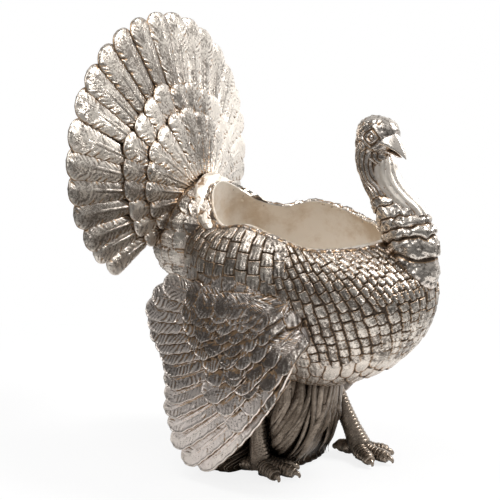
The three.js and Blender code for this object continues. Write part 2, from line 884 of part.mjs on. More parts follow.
const castings = {
  body_shell: [drill(makeBodyShell(), bodyNames), silver],
  tail_fan: [drill(makeTailFan(), ["tail_dowel_left", "tail_dowel_right"]), silver],
  right_wing: [drill(makeWing(-1), ["wing_dowel_right_front", "wing_dowel_right_rear"]), silver],
  left_wing: [drill(makeWing(1), ["wing_dowel_left_front", "wing_dowel_left_rear"]), silver],
  neck: [
    drill(neckAndHead.trimByPlane([0, 0, -1], -splitHeight + gap / 2).subtract(bodyCutter), ["neck_dowel", "head_dowel"]),
    silver,
  ],
  head: [drill(neckAndHead.trimByPlane([0, 0, 1], splitHeight + gap / 2), ["head_dowel"]), silver],
  right_leg: [drill(makeLeg(rightFoot), ["leg_rod_right"]), darkSilver],
  left_leg: [drill(makeLeg(leftFoot), ["leg_rod_left"]), darkSilver],
  grass_base: [drill(makeBaseForm().subtract(bodyCutter).subtract(legCutters), ["base_stud"]), darkSilver],
  felt_sheet: [makeFeltSheet(), felt],
  felt_dot_right: [makeFeltDot(rightFoot), felt],
  felt_dot_left: [makeFeltDot(leftFoot), felt],
};
for (const [name, [from, to, radius]] of Object.entries(dowels)) {
  castings[name] = [rod(from, to, radius), bareSteel];
}

const figure = new THREE.Group();
for (const [name, [solid, material]] of Object.entries(castings)) {
  const mesh = new THREE.Mesh(geometryOf(oneBody(solid.simplify(sliver))), material);
  mesh.name = name;
  figure.add(mesh);
}

// The origin lies on the table under the middle of the whole figure.
const bounds = new THREE.Box3().setFromObject(figure);
figure.position.x = -(bounds.min.x + bounds.max.x) / 2;
figure.position.y = -(bounds.min.y + bounds.max.y) / 2;

export default figure;
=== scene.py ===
import math

import bpy
import numpy as np
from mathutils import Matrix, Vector


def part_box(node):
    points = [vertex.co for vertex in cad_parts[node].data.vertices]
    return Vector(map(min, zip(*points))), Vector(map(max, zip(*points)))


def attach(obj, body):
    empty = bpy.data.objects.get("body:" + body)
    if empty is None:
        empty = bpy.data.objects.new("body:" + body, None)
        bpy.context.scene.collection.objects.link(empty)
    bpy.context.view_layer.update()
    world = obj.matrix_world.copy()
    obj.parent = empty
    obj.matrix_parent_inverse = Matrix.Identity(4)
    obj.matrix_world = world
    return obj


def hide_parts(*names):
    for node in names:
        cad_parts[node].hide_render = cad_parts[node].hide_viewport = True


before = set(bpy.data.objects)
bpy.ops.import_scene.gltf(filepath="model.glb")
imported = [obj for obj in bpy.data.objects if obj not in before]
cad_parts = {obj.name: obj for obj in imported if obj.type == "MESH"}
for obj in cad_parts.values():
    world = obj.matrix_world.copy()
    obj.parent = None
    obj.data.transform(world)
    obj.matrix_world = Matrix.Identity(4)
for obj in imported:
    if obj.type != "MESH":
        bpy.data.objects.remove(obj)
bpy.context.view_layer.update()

# A silver-leafed turkey with an open back. Sizes are in millimetres in the CAD's own axes, and
# makePiece brings them to metres. The CAD stands on the middle of its own box, so it is shifted along X.

mm = 0.001
pi = math.pi
fullTurn = 2 * math.pi
pieces = []
upward = np.array([0, 0, 1])
place = dict(shift=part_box("body_shell")[1].x / mm - 150)


# Numbers

def smooth(x, low, high):
    t = np.clip((x - low) / (high - low), 0, 1)
    return t * t * (3 - 2 * t)


def blend(a, b, t):
    return a + (b - a) * t


def curveThrough(table, x, column):
    # a smooth curve through one column of a table, level at both ends
    rows = np.array(table, float)
    at, value = rows[:, 0], rows[:, column]
    slope = np.zeros_like(value)
    slope[1:-1] = (value[2:] - value[:-2]) / (at[2:] - at[:-2])
    x = np.asarray(x, float)
    i = np.clip(np.searchsorted(at, x, side="right") - 1, 0, len(at) - 2)
    span = at[i + 1] - at[i]
    t = np.clip((x - at[i]) / span, 0, 1)
    t2, t3 = t * t, t * t * t
    start = value[i] * (2 * t3 - 3 * t2 + 1) + slope[i] * span * (t3 - 2 * t2 + t)
    return start + value[i + 1] * (3 * t2 - 2 * t3) + slope[i + 1] * span * (t3 - t2)


hashFactors = (374761393, 668265263, 1442695041, 1274126177)


def hashed(cells, seed):
    # a repeatable number from 0 to 1 for each whole cell
    a, b, c, d = hashFactors
    h = (cells[..., 0] * a + cells[..., 1] * b + cells[..., 2] * c + seed * d) & 0xFFFFFFFF
    h = ((h ^ (h >> 13)) * d) & 0xFFFFFFFF
    return ((h ^ (h >> 16)) & 0xFFFF) / 65535.0


def lumps(points, size, seed):
    # smooth noise from -1 to 1
    p = np.asarray(points, float) / size
    cell = np.floor(p).astype(np.int64)
    f = p - cell
    f = f * f * (3 - 2 * f)
    total = np.zeros(p.shape[:-1])
    for corner in np.ndindex(2, 2, 2):
        w = np.prod([f[..., k] if c else 1 - f[..., k] for k, c in enumerate(corner)], axis=0)
        total += w * hashed(cell + np.array(corner), seed)
    return total * 2 - 1


def swells(points, table):
    # several sizes of noise together, each given as (height, size, seed)
    return sum(height * lumps(points, size, seed) for height, size, seed in table)


def pebbles(points, size, seed):
    # distance to the nearest of many scattered points, as a share of their spacing
    p = np.asarray(points, float) / size
    cell = np.floor(p).astype(np.int64)
    best = np.full(p.shape[:-1], 9.0)
    for corner in np.ndindex(3, 3, 3):
        here = cell + np.array(corner) - 1
        middle = here + np.stack([hashed(here, seed + k) for k in range(3)], -1)
        best = np.minimum(best, np.linalg.norm(p - middle, axis=-1))
    return best


def unit(v):
    v = np.asarray(v, float)
    return v / np.maximum(np.linalg.norm(v, axis=-1, keepdims=True), 1e-9)


def around(count):
    return np.arange(count) / count * fullTurn


def runLength(path):
    # how far along a path each of its points lies
    return np.concatenate([[0], np.cumsum(np.linalg.norm(np.diff(path, axis=0), axis=1))])


# Meshes

def gridFaces(rows, columns, wraps):
    r = np.arange(rows - 1)[:, None]
    c = np.arange(columns if wraps else columns - 1)[None, :]
    n = (c + 1) % columns
    low, high = r * columns, (r + 1) * columns
    return np.stack([low + c, low + n, high + n, high + c], -1).reshape(-1, 4)


def facingOut(grid, row, axis):
    # normals of a grid that closes on itself; the first point of the given row faces along the axis
    across = np.roll(grid, -1, 1) - np.roll(grid, 1, 1)
    normals = unit(np.cross(across, np.gradient(grid, axis=0)))
    return normals if normals[row, 0, axis] >= 0 else -normals


def signedVolume(points, quads, triangles):
    corners = np.concatenate([quads[:, [0, 1, 2]], quads[:, [0, 2, 3]], triangles])
    a, b, c = (points[corners[:, k]] for k in range(3))
    return np.einsum("ij,ij->i", a, np.cross(b, c)).sum() / 6


class Shell:
    # points, faces and fields of one piece, which grows part by part
    def __init__(self):
        self.points, self.quads, self.triangles, self.fields = [], [], [], []
        self.count = 0

    def add(self, points, quads, triangles=None, **fields):
        points = np.asarray(points, float).reshape(-1, 3)
        quads = np.asarray(quads, int).reshape(-1, 4)
        triangles = np.zeros((0, 3), int) if triangles is None else np.asarray(triangles, int)
        self.quads.append(quads + self.count)
        self.triangles.append(triangles + self.count)
        column = lambda value: np.broadcast_to(np.asarray(value, float).reshape(-1), (len(points),))
        self.fields.append({name: column(value) for name, value in fields.items()})
        self.points.append(points)
        self.count += len(points)

    def addLoft(self, rings, **fields):
        # rings of points with a fan over each end, turned to face outwards
        rings = np.asarray(rings, float)
        rows, columns = rings.shape[:2]
        points = np.concatenate([rings.reshape(-1, 3), rings[:1].mean(1), rings[-1:].mean(1)])
        first = np.arange(columns)
        last = first + (rows - 1) * columns
        near, far = np.full(columns, rows * columns), np.full(columns, rows * columns + 1)
        triangles = np.concatenate([np.stack([near, np.roll(first, -1), first], -1),
                                    np.stack([far, last, np.roll(last, -1)], -1)])
        quads = gridFaces(rows, columns, True)
        if signedVolume(points, quads, triangles) < 0:
            quads, triangles = quads[:, ::-1], triangles[:, ::-1]
        grown = {}
        for name, value in fields.items():
            value = np.broadcast_to(np.asarray(value, float), (rows, columns))
            grown[name] = np.concatenate([value.reshape(-1), [value[0].mean(), value[-1].mean()]])
        self.add(points, quads, triangles, **grown)

    def addLoop(self, rings, **fields):
        # rings of points whose last one joins the first
        rings = np.asarray(rings, float)
        rows, columns = rings.shape[:2]
        points, none = rings.reshape(-1, 3), np.zeros((0, 3), int)
        quads = gridFaces(rows + 1, columns, True) % (rows * columns)
        if signedVolume(points, quads, none) < 0:
            quads = quads[:, ::-1]
        spread = lambda value: np.broadcast_to(np.asarray(value, float), (rows, columns))
        self.add(points, quads, **{name: spread(value) for name, value in fields.items()})


def addObject(name, data):
    made = bpy.data.objects.new(name, data)
    bpy.context.scene.collection.objects.link(made)
    return made


def pointAt(thing, spot, target):
    thing.location = spot
    thing.rotation_euler = (Vector(target) - Vector(spot)).to_track_quat("-Z", "Y").to_euler()


def vectorsOf(things, name):
    values = np.zeros(len(things) * 3, np.float32)
    things.foreach_get(name, values)
    return values.reshape(-1, 3)


def makePiece(name, shell, nodes, normals=None):
    # a mesh object from a shell, which stands for the named solids
    points = (np.concatenate(shell.points) + np.array([place["shift"], 0, 0])) * mm
    quads, triangles = np.concatenate(shell.quads), np.concatenate(shell.triangles)
    corners = np.concatenate([quads.ravel(), triangles.ravel()])
    sizes = np.concatenate([np.full(len(quads), 4), np.full(len(triangles), 3)])
    mesh = bpy.data.meshes.new(name)
    mesh.vertices.add(len(points))
    mesh.vertices.foreach_set("co", points.astype(np.float32).ravel())
    mesh.loops.add(len(corners))
    mesh.loops.foreach_set("vertex_index", corners.astype(np.int32))
    mesh.polygons.add(len(sizes))
    mesh.polygons.foreach_set("loop_start", (np.cumsum(sizes) - sizes).astype(np.int32))
    mesh.polygons.foreach_set("use_smooth", np.ones(len(sizes), bool))
    mesh.update(calc_edges=True)
    for field in ("tone", "barb", "groove"):
        columns = [part.get(field, np.zeros(len(p))) for part, p in zip(shell.fields, shell.points)]
        layer = mesh.attributes.new(field, "FLOAT", "POINT")
        layer.data.foreach_set("value", np.concatenate(columns).astype(np.float32))
    if normals is not None:
        mesh.normals_split_custom_set_from_vertices(normals.reshape(-1, 3).astype(np.float32))
    piece = addObject(name, mesh)
    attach(piece, "root")
    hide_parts(*nodes)
    pieces.append(piece)


def tube(shell, path, radii, sides, upright=(0, 0, 1), relief=None, **fields):
    # a round bar along a path; relief(distance, angle) adds height in millimetres
    path, radii = np.asarray(path, float), np.asarray(radii, float)
    along = unit(np.gradient(path, axis=0))
    side = unit(np.cross(along, np.asarray(upright, float)))
    rise = np.cross(side, along)
    angle = around(sides)[None, :]
    extra, groove = relief(runLength(path)[:, None], angle) if relief else (0.0, 0.0)
    radius = radii[:, None] + extra
    rings = (path[:, None] + side[:, None] * (radius * np.cos(angle))[..., None]
             + rise[:, None] * (radius * np.sin(angle))[..., None])
    shell.addLoft(rings, groove=groove, **fields)


def resample(path, count):
    # the same path with even steps, rounded by a smooth curve
    path = np.asarray(path, float)
    steps = runLength(path)
    table = np.concatenate([steps[:, None], path], 1)
    at = np.linspace(0, steps[-1], count)
    return np.stack([curveThrough(table, at, k + 1) for k in range(3)], -1)


# Single feathers

feather = dict(
    underColumns=7, underDepth=0.35,  # the back of a feather is plain
    rimInset=1.2, rimWidth=0.8, barbSlant=1.2,
    nickStart=0.24, nickSpan=0.6, nickWidth=(0.9, 1.4), nickSlant=(0.7, 1.4), nickReach=(0.35, 0.55),
    nickRidge=0.8,
    fanTurn=2.5, fanFrom=(0.5, 0.72),
    strokePitch=5.8, strokeSlant=1.0, strokeTone=3.6, strokeGroove=0.28,
    strokeBend=(0.9, 11, 22), strokeDepth=(1.1, 7, 23),
)
# What every kind of feather starts from. Heights and widths are in millimetres.
# dark sets the painted shade along the middle of a vane
plainFeather = dict(
    strokes=0, tipPower=2.0, shaft=0.8, shaftWidth=0.8, roof=0.0, rim=0.15, dish=0.0, ragged=0.02,
    dark=0.0, knob=0.0, knobLength=0.9, fanLines=6, fanDepth=0.0, nicks=4, nickDepth=0.7,
)


def vaneRelief(u, w, x, inward, rounded, look):
    # the swell, shaft, roof, rim and hollow of a vane, and how deep in a groove each point lies
    shaftWidth = look["shaftWidth"]
    fade = 1 - smooth(u, look["shaftEnd"] - 0.12, look["shaftEnd"])
    shaft = np.exp(-(x / shaftWidth) ** 2) * fade
    valley = np.exp(-((np.abs(x) - 2.0 * shaftWidth) / shaftWidth) ** 2) * fade
    rim = np.exp(-((inward - feather["rimInset"]) / feather["rimWidth"]) ** 2)
    swell = np.sqrt(np.clip(1 - np.abs(w) ** 4, 0, 1)) * np.maximum(rounded, 0.02) ** 0.5
    top = look["thickness"] * swell + look["shaft"] * (shaft - 0.4 * valley)
    top = top + look["roof"] * (1 - np.abs(w)) * rounded + look["rim"] * rim
    top = top - look["dish"] * (1 - w ** 2) * smooth(u, 0.1, 0.5)
    return top, 0.55 * smooth(np.abs(w), 0.88, 1) + 0.3 * valley - 0.3 * rim * (look["rim"] > 0.4)


def tipFan(x, beyond, w, halfWidth, turn, look):
    # the swollen tip, cut by a fan of curved strokes; beyond is the distance past the fan's middle
    away = np.hypot(x, beyond) / halfWidth
    knob = smooth(beyond, -0.4 * halfWidth, 0.3 * halfWidth)
    lines = np.cos(np.arctan2(x, beyond) * look["fanLines"] + feather["fanTurn"] * away + turn)
    lines = smooth(lines, 0.45, 1) * smooth(away, *feather["fanFrom"]) * knob
    top = look["knob"] * knob * (1 - w ** 2) - look["fanDepth"] * lines
    return top, 0.25 * lines * (look["fanDepth"] > 0)


def edgeNicks(a, x, w, width, length, nickSide, look, rng):
    # slanting nicks along the edges, each with a raised sliver beside it
    top, groove = 0, 0
    for k in range(look["nicks"]):
        side = nickSide or (1 if k % 2 else -1)
        share = (k + rng.uniform(0.2, 0.8)) / look["nicks"]
        start = (feather["nickStart"] + feather["nickSpan"] * share) * length
        slant = rng.uniform(*feather["nickSlant"])
        wide = rng.uniform(*feather["nickWidth"])
        off = (a - start) + (width - np.abs(x)) * slant * (1 - 0.3 * (1 - np.abs(w)))
        reach = smooth(np.abs(w), rng.uniform(*feather["nickReach"]), 0.75) * (side * w > 0)
        cut = np.exp(-(off / wide) ** 2) * reach
        ridge = np.exp(-((off - 1.9 * wide) / wide) ** 2) * reach
        top = top - look["nickDepth"] * (cut - feather["nickRidge"] * ridge)
        groove = groove + 0.75 * cut - 0.25 * ridge
    return top, groove


def vaneStrokes(a, x, w, toTip, length):
    # slanting strokes all along the vane, deep in some places and faint in others
    spot = np.stack(np.broadcast_arrays(x, a, 7.0 * length), -1)
    phase = (a - np.abs(x) * feather["strokeSlant"]) / feather["strokePitch"]
    phase = phase + swells(spot, [feather["strokeBend"]])
    stroke = np.cos(phase * fullTurn) * np.clip(0.65 + swells(spot, [feather["strokeDepth"]]), 0.05, 1.5)
    stroke = stroke * smooth(np.abs(w), 0.12, 0.35) * (1 - smooth(np.abs(w), 0.84, 0.97))
    return stroke * smooth(toTip, 0.05, 0.3)


def cutFeather(shell, lay, length, halfWidth, look, rng, nickSide=0):
    # A closed feather. lay(share along, distance across, height) puts its points in space. nickSide is
    # the side that its nicks are on, or 0 for both.
    t = np.linspace(0, 1, look["rows"])
    u = (0.75 * t + 0.25 * np.sin(t * pi / 2))[:, None]
    w = np.sin(np.linspace(-pi / 2, pi / 2, look["columns"]))[None, :]
    toTip = np.clip((1 - u) * length / (halfWidth * look["tipLength"]), 0, 1)
    rounded = (1 - (1 - toTip) ** look["tipPower"]) ** (1 / look["tipPower"])
    ragged = 1 + look["ragged"] * np.sin(u * length * rng.uniform(0.35, 0.55) + rng.uniform(0, 6))
    width = halfWidth * curveThrough(look["outline"], u, 1) * np.maximum(rounded, 0.02) * ragged
    x, a = w * width, u * length
    inward = np.minimum(width * (1 - np.abs(w)), (1 - u) * length)
    beyond = a - (length - halfWidth * look["knobLength"])
    form, browning = vaneRelief(u, w, x, inward, rounded, look)
    fan, fanDirt = tipFan(x, beyond, w, halfWidth, rng.uniform(0, 6), look)
    nicks, nickDirt = edgeNicks(a, x, w, width, length, nickSide, look, rng)
    stroke = vaneStrokes(a, x, w, toTip, length) if look["strokes"] else 0
    top = form + fan + nicks + look["strokes"] * stroke
    groove = browning + fanDirt + nickDirt - feather["strokeGroove"] * stroke
    # the plain back closes each ring
    wUnder = np.sin(np.linspace(pi / 2, -pi / 2, feather["underColumns"] + 2))[None, 1:-1]
    under = -feather["underDepth"] * look["thickness"] * np.sqrt(np.clip(1 - wUnder ** 2, 0, 1)) + 0 * u
    xRing = np.concatenate([x, wUnder * width], 1)
    uRing = np.broadcast_to(u, xRing.shape)
    # painted shade: darker along the middle of a vane than at its edges, for the dark reflected in its
    # hollow, with denser grey flecks there too
    middle = np.clip(1 - (xRing / width) ** 2, 0, 1) * smooth(uRing, 0.05, 0.3)
    # the draw is made either way, so that the later ones stay the same
    tones = look.get("tone", rng.random()) - look["dark"] * middle
    tones[:, :look["columns"]] += feather["strokeTone"] * look["strokes"] * stroke
    shell.addLoft(lay(uRing, xRing, np.concatenate([top, under], 1)), tone=tones,
                  barb=uRing * length - np.abs(xRing) * feather["barbSlant"],
                  groove=np.concatenate([groove, np.full(under.shape, 0.1)], 1))


# Reliefs of many feathers in one skin

plate = dict(
    tileFrom=0.5,  # squarer ones are flat tiles with a crack all round, rounder ones rise to their tips
    tileTilt=0.3, scaleTilt=0.8, tileCrack=1, wideTileCrack=1.5, wideTile=6, scaleCrack=3,
    skew=0.15, dip=0.4, rimInset=1.2, rimWidth=0.8, shaftWidth=0.8, barbSlant=1.3,
)


def plateEdge(a, b, length, halfWidth, squareness, tipPower):
    # how far out each point lies as a share, how far in from the edge, and whether it is on the plate
    past = np.clip((a - squareness) / (1 - squareness), 0, None)
    r = (past ** tipPower + np.abs(b) ** tipPower) ** (1 / tipPower)
    r = np.where(a > squareness, r, np.abs(b))
    inward = (1 - r) * halfWidth
    if squareness > plate["tileFrom"]:
        inward = np.minimum(inward, a * length)
    return r, inward, (a > -0.08) & (r < 1) & (inward > 0)


def plateTop(a, b, r, inward, halfWidth, tile, lift, dip, comb, look):
    edge = np.clip(inward / look["edgeWidth"], 0, 1)
    edge = np.sqrt(edge * (2 - edge))
    rim = look["rim"] * np.exp(-((inward - plate["rimInset"]) / plate["rimWidth"]) ** 2)
    shaft = look["shaft"] * np.exp(-(b * halfWidth / plate["shaftWidth"]) ** 2)
    tilt = plate["tileTilt"] if tile else plate["scaleTilt"]
    rise = lift * (1 - tilt + tilt * np.clip(a, 0, 1) ** look["rise"]) + look["crown"] * (1 - r ** 2)
    return (rise + rim + shaft + dip * b + comb) * edge


def layFeathers(points, feathers, look):
    # Each feather is (root, along, normal, length, halfWidth, squareness, tipPower, lift). Gives the
    # height of the top feather at each point, its tone, the run of its barbs and how near its edge is.
    flat = points.reshape(-1, 3)
    height, tone, barb = (np.zeros(len(flat)) for _ in range(3))
    groove = np.ones(len(flat))
    rng = np.random.default_rng(look["seed"])
    wobbles = [lumps(flat, look["wobbleSize"], look["seed"] + k) for k in (1, 2, 3)]
    warped = flat + look["wobble"] * np.stack(wobbles, -1)
    for root, along, normal, length, halfWidth, squareness, tipPower, lift in feathers:
        shade = rng.random()
        skew = rng.uniform(-plate["skew"], plate["skew"])
        dip = rng.uniform(-plate["dip"], plate["dip"])
        away = warped - (root + along * length * 0.5)
        near = np.nonzero(np.einsum("ij,ij->i", away, away) < (length * 0.55 + halfWidth) ** 2)[0]
        if not len(near):
            continue
        offset = warped[near] - root
        a = offset @ along / length
        b = (offset @ np.cross(normal, along)) / halfWidth + skew * (a - 0.5)
        r, inward, inside = plateEdge(a, b, length, halfWidth, squareness, tipPower)
        tile = squareness > plate["tileFrom"]
        teeth = np.cos(b * halfWidth * fullTurn / look["combPitch"] + 2.5 * skew * a)
        comb = look["comb"] * teeth * smooth(a, 0.3, 0.9)
        top = plateTop(a, b, r, inward, halfWidth, tile, lift, dip, comb, look)
        better = inside & (top > height[near])
        chosen = near[better]
        height[chosen] = top[better]
        tone[chosen] = shade + look["combTone"] * comb[better]
        barb[chosen] = (a * length - np.abs(b) * halfWidth * plate["barbSlant"])[better]
        tileCrack = plate["tileCrack"] if halfWidth < plate["wideTile"] else plate["wideTileCrack"]
        crack = look["grooveWidth"] * (tileCrack if tile else plate["scaleCrack"])
        groove[chosen] = 1 - smooth(inward, 0.1, crack)[better]
    return [value.reshape(points.shape[:-1]) for value in (height, tone, barb, groove)]


def plumed(form, normals, feathers, look):
    # a skin raised by its feathers, and the fields of its points
    height, *fields = layFeathers(form, feathers, look)
    height = height - look["sink"] + swells(form, look["swells"])
    return form + normals * height[..., None], dict(zip(("tone", "barb", "groove"), fields))


# Camera. The angles are in degrees, and it turns about the target while it looks at the aim.

camera = dict(
    azimuth=30.5, elevation=13.5, distance=1700,
    target=(0, 0, 230), aim=(-40.8, -25.3, 225.3),
    lens=122.4, sensor=36,
)


def placeCamera():
    turn, rise = math.radians(camera["azimuth"]), math.radians(camera["elevation"])
    back = Vector((math.sin(turn) * math.cos(rise), -math.cos(turn) * math.cos(rise), math.sin(rise)))
    shifted = Vector((place["shift"], 0, 0))
    eye = (Vector(camera["target"]) + shifted + back * camera["distance"]) * mm
    aim = (Vector(camera["aim"]) + shifted) * mm
    data = bpy.data.cameras.new("camera")
    data.lens = camera["lens"]
    data.sensor_width = camera["sensor"]
    data.clip_end = 20
    made = addObject("camera", data)
    pointAt(made, eye, aim)
    bpy.context.scene.camera = made


placeCamera()
print("camera placed")


# Body

body = dict(
    front=150, rear=122, halfWidth=98,
    bellyHeight=88, breastWaistHeight=198, rumpWaistHeight=222,
    rimHeight=262, lipWall=7, lipStart=0.93, lipFlatness=0.9, lipBend=(0.25, pi + 0.35),
    chips=[(1.2, 5, 8), (0.8, 2.4, 9)],
    cavityFront=108, cavityRear=102, cavityHalfWidth=82,
    cavityWaistHeight=205, cavityFloor=122, cavityEnd=0.8, cavityRoundness=0.7,
    upperSweep=math.radians(62),
    rumpTaper=0.45,
    columns=335, lowerRows=196, upperRows=84, lipRows=12,  # of each half
)
# Share of the half turn from breast to rump, rim radius as a share of the girth, rim height as a share
rimShares = [
    (0, 0.655, 0.943), (0.155, 0.672, 0.935), (0.28, 0.765, 0.939), (0.435, 0.762, 0.977),
    (0.585, 0.752, 1), (0.735, 0.76, 0.972), (0.85, 0.772, 1), (0.94, 0.81, 1.068), (1, 0.815, 1.09),
]
bodyPlumage = dict(
    seed=11, wobble=1.1, wobbleSize=8, edgeWidth=1.2, grooveWidth=0.95, rise=1.3,
    rim=0.2, shaft=0.0, crown=0.7, sink=2.2, comb=0.22, combPitch=4.4, combTone=5.0, bellyPaintedLight=2.4,
    swells=[(0.45, 13, 5), (0.25, 5, 6)],
)


def ellipseReach(angle, front, rear, halfWidth):
    length = np.where(np.cos(angle) > 0, front, rear)
    return 1 / np.hypot(np.cos(angle) / length, np.sin(angle) / halfWidth)


def rimAt(angle):
    share = np.abs(np.arctan2(np.sin(angle), np.cos(angle))) / pi
    girth = ellipseReach(angle, body["front"], body["rear"], body["halfWidth"])
    return curveThrough(rimShares, share, 1) * girth, curveThrough(rimShares, share, 2) * body["rimHeight"]


def vesselSkin(angle, v, girth, waist, inset, drop, power):
    # v runs from -1 at the bottom through 0 at the waist to 1 at the rim
    rimRadius, rimHigh = rimAt(angle)
    sweep = body["upperSweep"]
    up, down = np.clip(v, 0, 1) * sweep, np.clip(-v, 0, 1) * pi / 2
    inward = (1 - np.cos(up)) / (1 - math.cos(sweep))
    radius = np.where(v >= 0, girth - (girth - rimRadius + inset) * inward, girth * np.cos(down) ** power)
    rise = (rimHigh - waist) * np.sin(up) / math.sin(sweep)
    z = np.where(v >= 0, waist + rise, waist - drop * np.sin(down))
    return np.stack([radius * np.cos(angle), radius * np.sin(angle), z], -1)


def bodySkin(angle, v):
    angle, v = np.broadcast_arrays(np.asarray(angle, float), np.asarray(v, float))
    girth = ellipseReach(angle, body["front"], body["rear"], body["halfWidth"])
    rearShare = (1 - np.cos(angle)) / 2
    waist = blend(body["breastWaistHeight"], body["rumpWaistHeight"], rearShare)
    roundness = 1 + body["rumpTaper"] * rearShare
    return vesselSkin(angle, v, girth, waist, 0, waist - body["bellyHeight"], roundness)


def cavitySkin(angle, v):
    girth = ellipseReach(angle, body["cavityFront"], body["cavityRear"], body["cavityHalfWidth"])
    waist = body["cavityWaistHeight"]
    drop = (waist - body["cavityFloor"]) / math.sin(body["cavityEnd"] * pi / 2)
    return vesselSkin(angle, v, girth, waist, body["lipWall"], drop, body["cavityRoundness"])


def waistAngles(start, end, width):
    # angles from one share of the half turn to another, evenly spaced along the waist
    angle = np.linspace(start * pi, end * pi, 400)
    steps = runLength(bodySkin(angle, 0.0))
    count = max(2, int(round(steps[-1] / width)))
    return np.interp((np.arange(count) + 0.5) / count * steps[-1], steps, angle), steps[-1] / count


def plumageZone(share, v):
    # 0 fine tiles on the breast, 1 square plates at the flank, 2 smooth plates underneath
    low = v < blend(-0.42, -0.26, share) + 0.05 * np.sin(share * 19)
    return np.where(low, 2, np.where(share < 0.4 + 0.02 * np.sin(v * 9), 0, 1))


def inZone(zone, share, v):
    # each kind reaches a little into its neighbours, so that no skin stays bare between them
    near = np.array([(0, 0), (-0.025, 0), (0.025, 0), (0, -0.05), (0, 0.05)])
    return np.any(plumageZone(share + near[:, 0], v + near[:, 1]) == zone)


# The kinds of plate: the shares of the half turn that its columns start and end at, a column's width,
# a plate's length and form, how far it spreads under its neighbours, and how far a column leans
# forward on its way down
plumageRows = [
    dict(zone=0, start=0.0, end=0.6, width=9.8, length=11.0, squareness=0.7, tipPower=4.0, lift=1.7,
         lean=0.27, overlap=0.53, stretch=0.99),
    dict(zone=1, start=0.33, end=1.0, width=14.5, length=15.0, squareness=0.78, tipPower=5.0, lift=1.9,
         lean=0.03, overlap=0.53, stretch=0.99),
    dict(zone=2, start=0.0, end=1.0, width=19.0, length=21.0, squareness=0.35, tipPower=2.6, lift=2.2,
         lean=0.1, overlap=0.62, stretch=1.35),
]
column = dict(
    top=0.99, bottom=-0.93, steps=260,
    drop=0.35,  # how far its joints lie below those of the column behind it, as a slope
    breastLean=1.5, endsBelow=0.68,  # over the breast, every other column ends where they draw together
    jitter=1.5, lengths=(0.82, 1.15), lifts=(0.75, 1.25), leastWidth=0.4, lookAhead=8, turnStep=0.01,
)


def columnFeathers(kind, n, angle, pitch, flip, rng):
    # the plates of one column, from the rim down
    v = np.linspace(column["top"], column["bottom"], column["steps"])
    leaning = min(column["breastLean"] * math.sin(angle), 1)
    leanBy = kind["lean"] * (column["top"] - v + np.clip(-v, 0, 0.5))
    theta = angle - leanBy * leaning
    path = bodySkin(theta, v)
    steps = runLength(path)
    jitter = rng.uniform(-column["jitter"], column["jitter"])
    at = -(column["drop"] * n * pitch) % kind["length"] - kind["length"] + jitter
    feathers = []
    while at < steps[-1]:
        step = kind["length"] * rng.uniform(*column["lengths"])
        i = int(np.searchsorted(steps, np.clip(at, 0, steps[-1])).clip(1, len(v) - 2))
        at += step
        if not inZone(kind["zone"], theta[i] / pi, v[min(i + column["lookAhead"], len(v) - 1)]):
            continue
        closer = 1 - leanBy[i] * column["breastLean"] * math.cos(angle) if leaning < 1 else 1
        thinned = closer < column["endsBelow"]
        if thinned and n % 2:
            continue
        along = unit(path[i + 1] - path[i - 1])
        e = column["turnStep"]
        across = unit(bodySkin(theta[i] + e, v[i]) - bodySkin(theta[i] - e, v[i]))
        normal = unit(np.cross(across, -along))
        narrow = np.linalg.norm(path[i][:2]) / max(np.linalg.norm(bodySkin(theta[i], 0.0)[:2]), 1)
        narrow = narrow * closer * (1 + thinned) * abs(across @ np.cross(normal, along))
        half = pitch * np.clip(narrow, column["leastWidth"], 1) * kind["overlap"]
        feathers.append((path[i] * flip, along * flip, normal * flip, step * kind["stretch"], half,
                         kind["squareness"], kind["tipPower"], kind["lift"] * rng.uniform(*column["lifts"])))
    return feathers


def bodyFeathers(side):
    rng = np.random.default_rng(21 if side > 0 else 22)
    feathers = []
    for kind in plumageRows:
        angles, pitch = waistAngles(kind["start"], kind["end"], kind["width"])
        for n, angle in enumerate(angles):
            feathers += columnFeathers(kind, n, angle, pitch, np.array([1, side, 1]), rng)
    return feathers


def bodyGrid():
    half = np.linspace(0, pi, body["columns"])
    angle = np.concatenate([half, -half[1:-1][::-1]])
    v = np.concatenate([np.linspace(-0.985, 0, body["lowerRows"], endpoint=False),
                        np.linspace(0, body["lipStart"], body["upperRows"])])
    return angle, v


def lipRing(top, angle):
    # the lip, a rounded edge with chips in it, and how far round its bend each row lies
    outward = unit(np.stack([np.cos(angle), np.sin(angle), 0 * angle], -1))
    bend = np.linspace(*body["lipBend"], body["lipRows"])[:, None]
    r = body["lipWall"] / 2
    ring = ((top - outward * r)[None] + outward[None] * (r * np.cos(bend))[..., None]
            + upward * (r * body["lipFlatness"] * np.sin(bend))[..., None])
    chips = swells(ring, body["chips"])
    return ring + (chips * np.sin(np.clip(bend, 0, pi)))[..., None] * upward, chips, bend


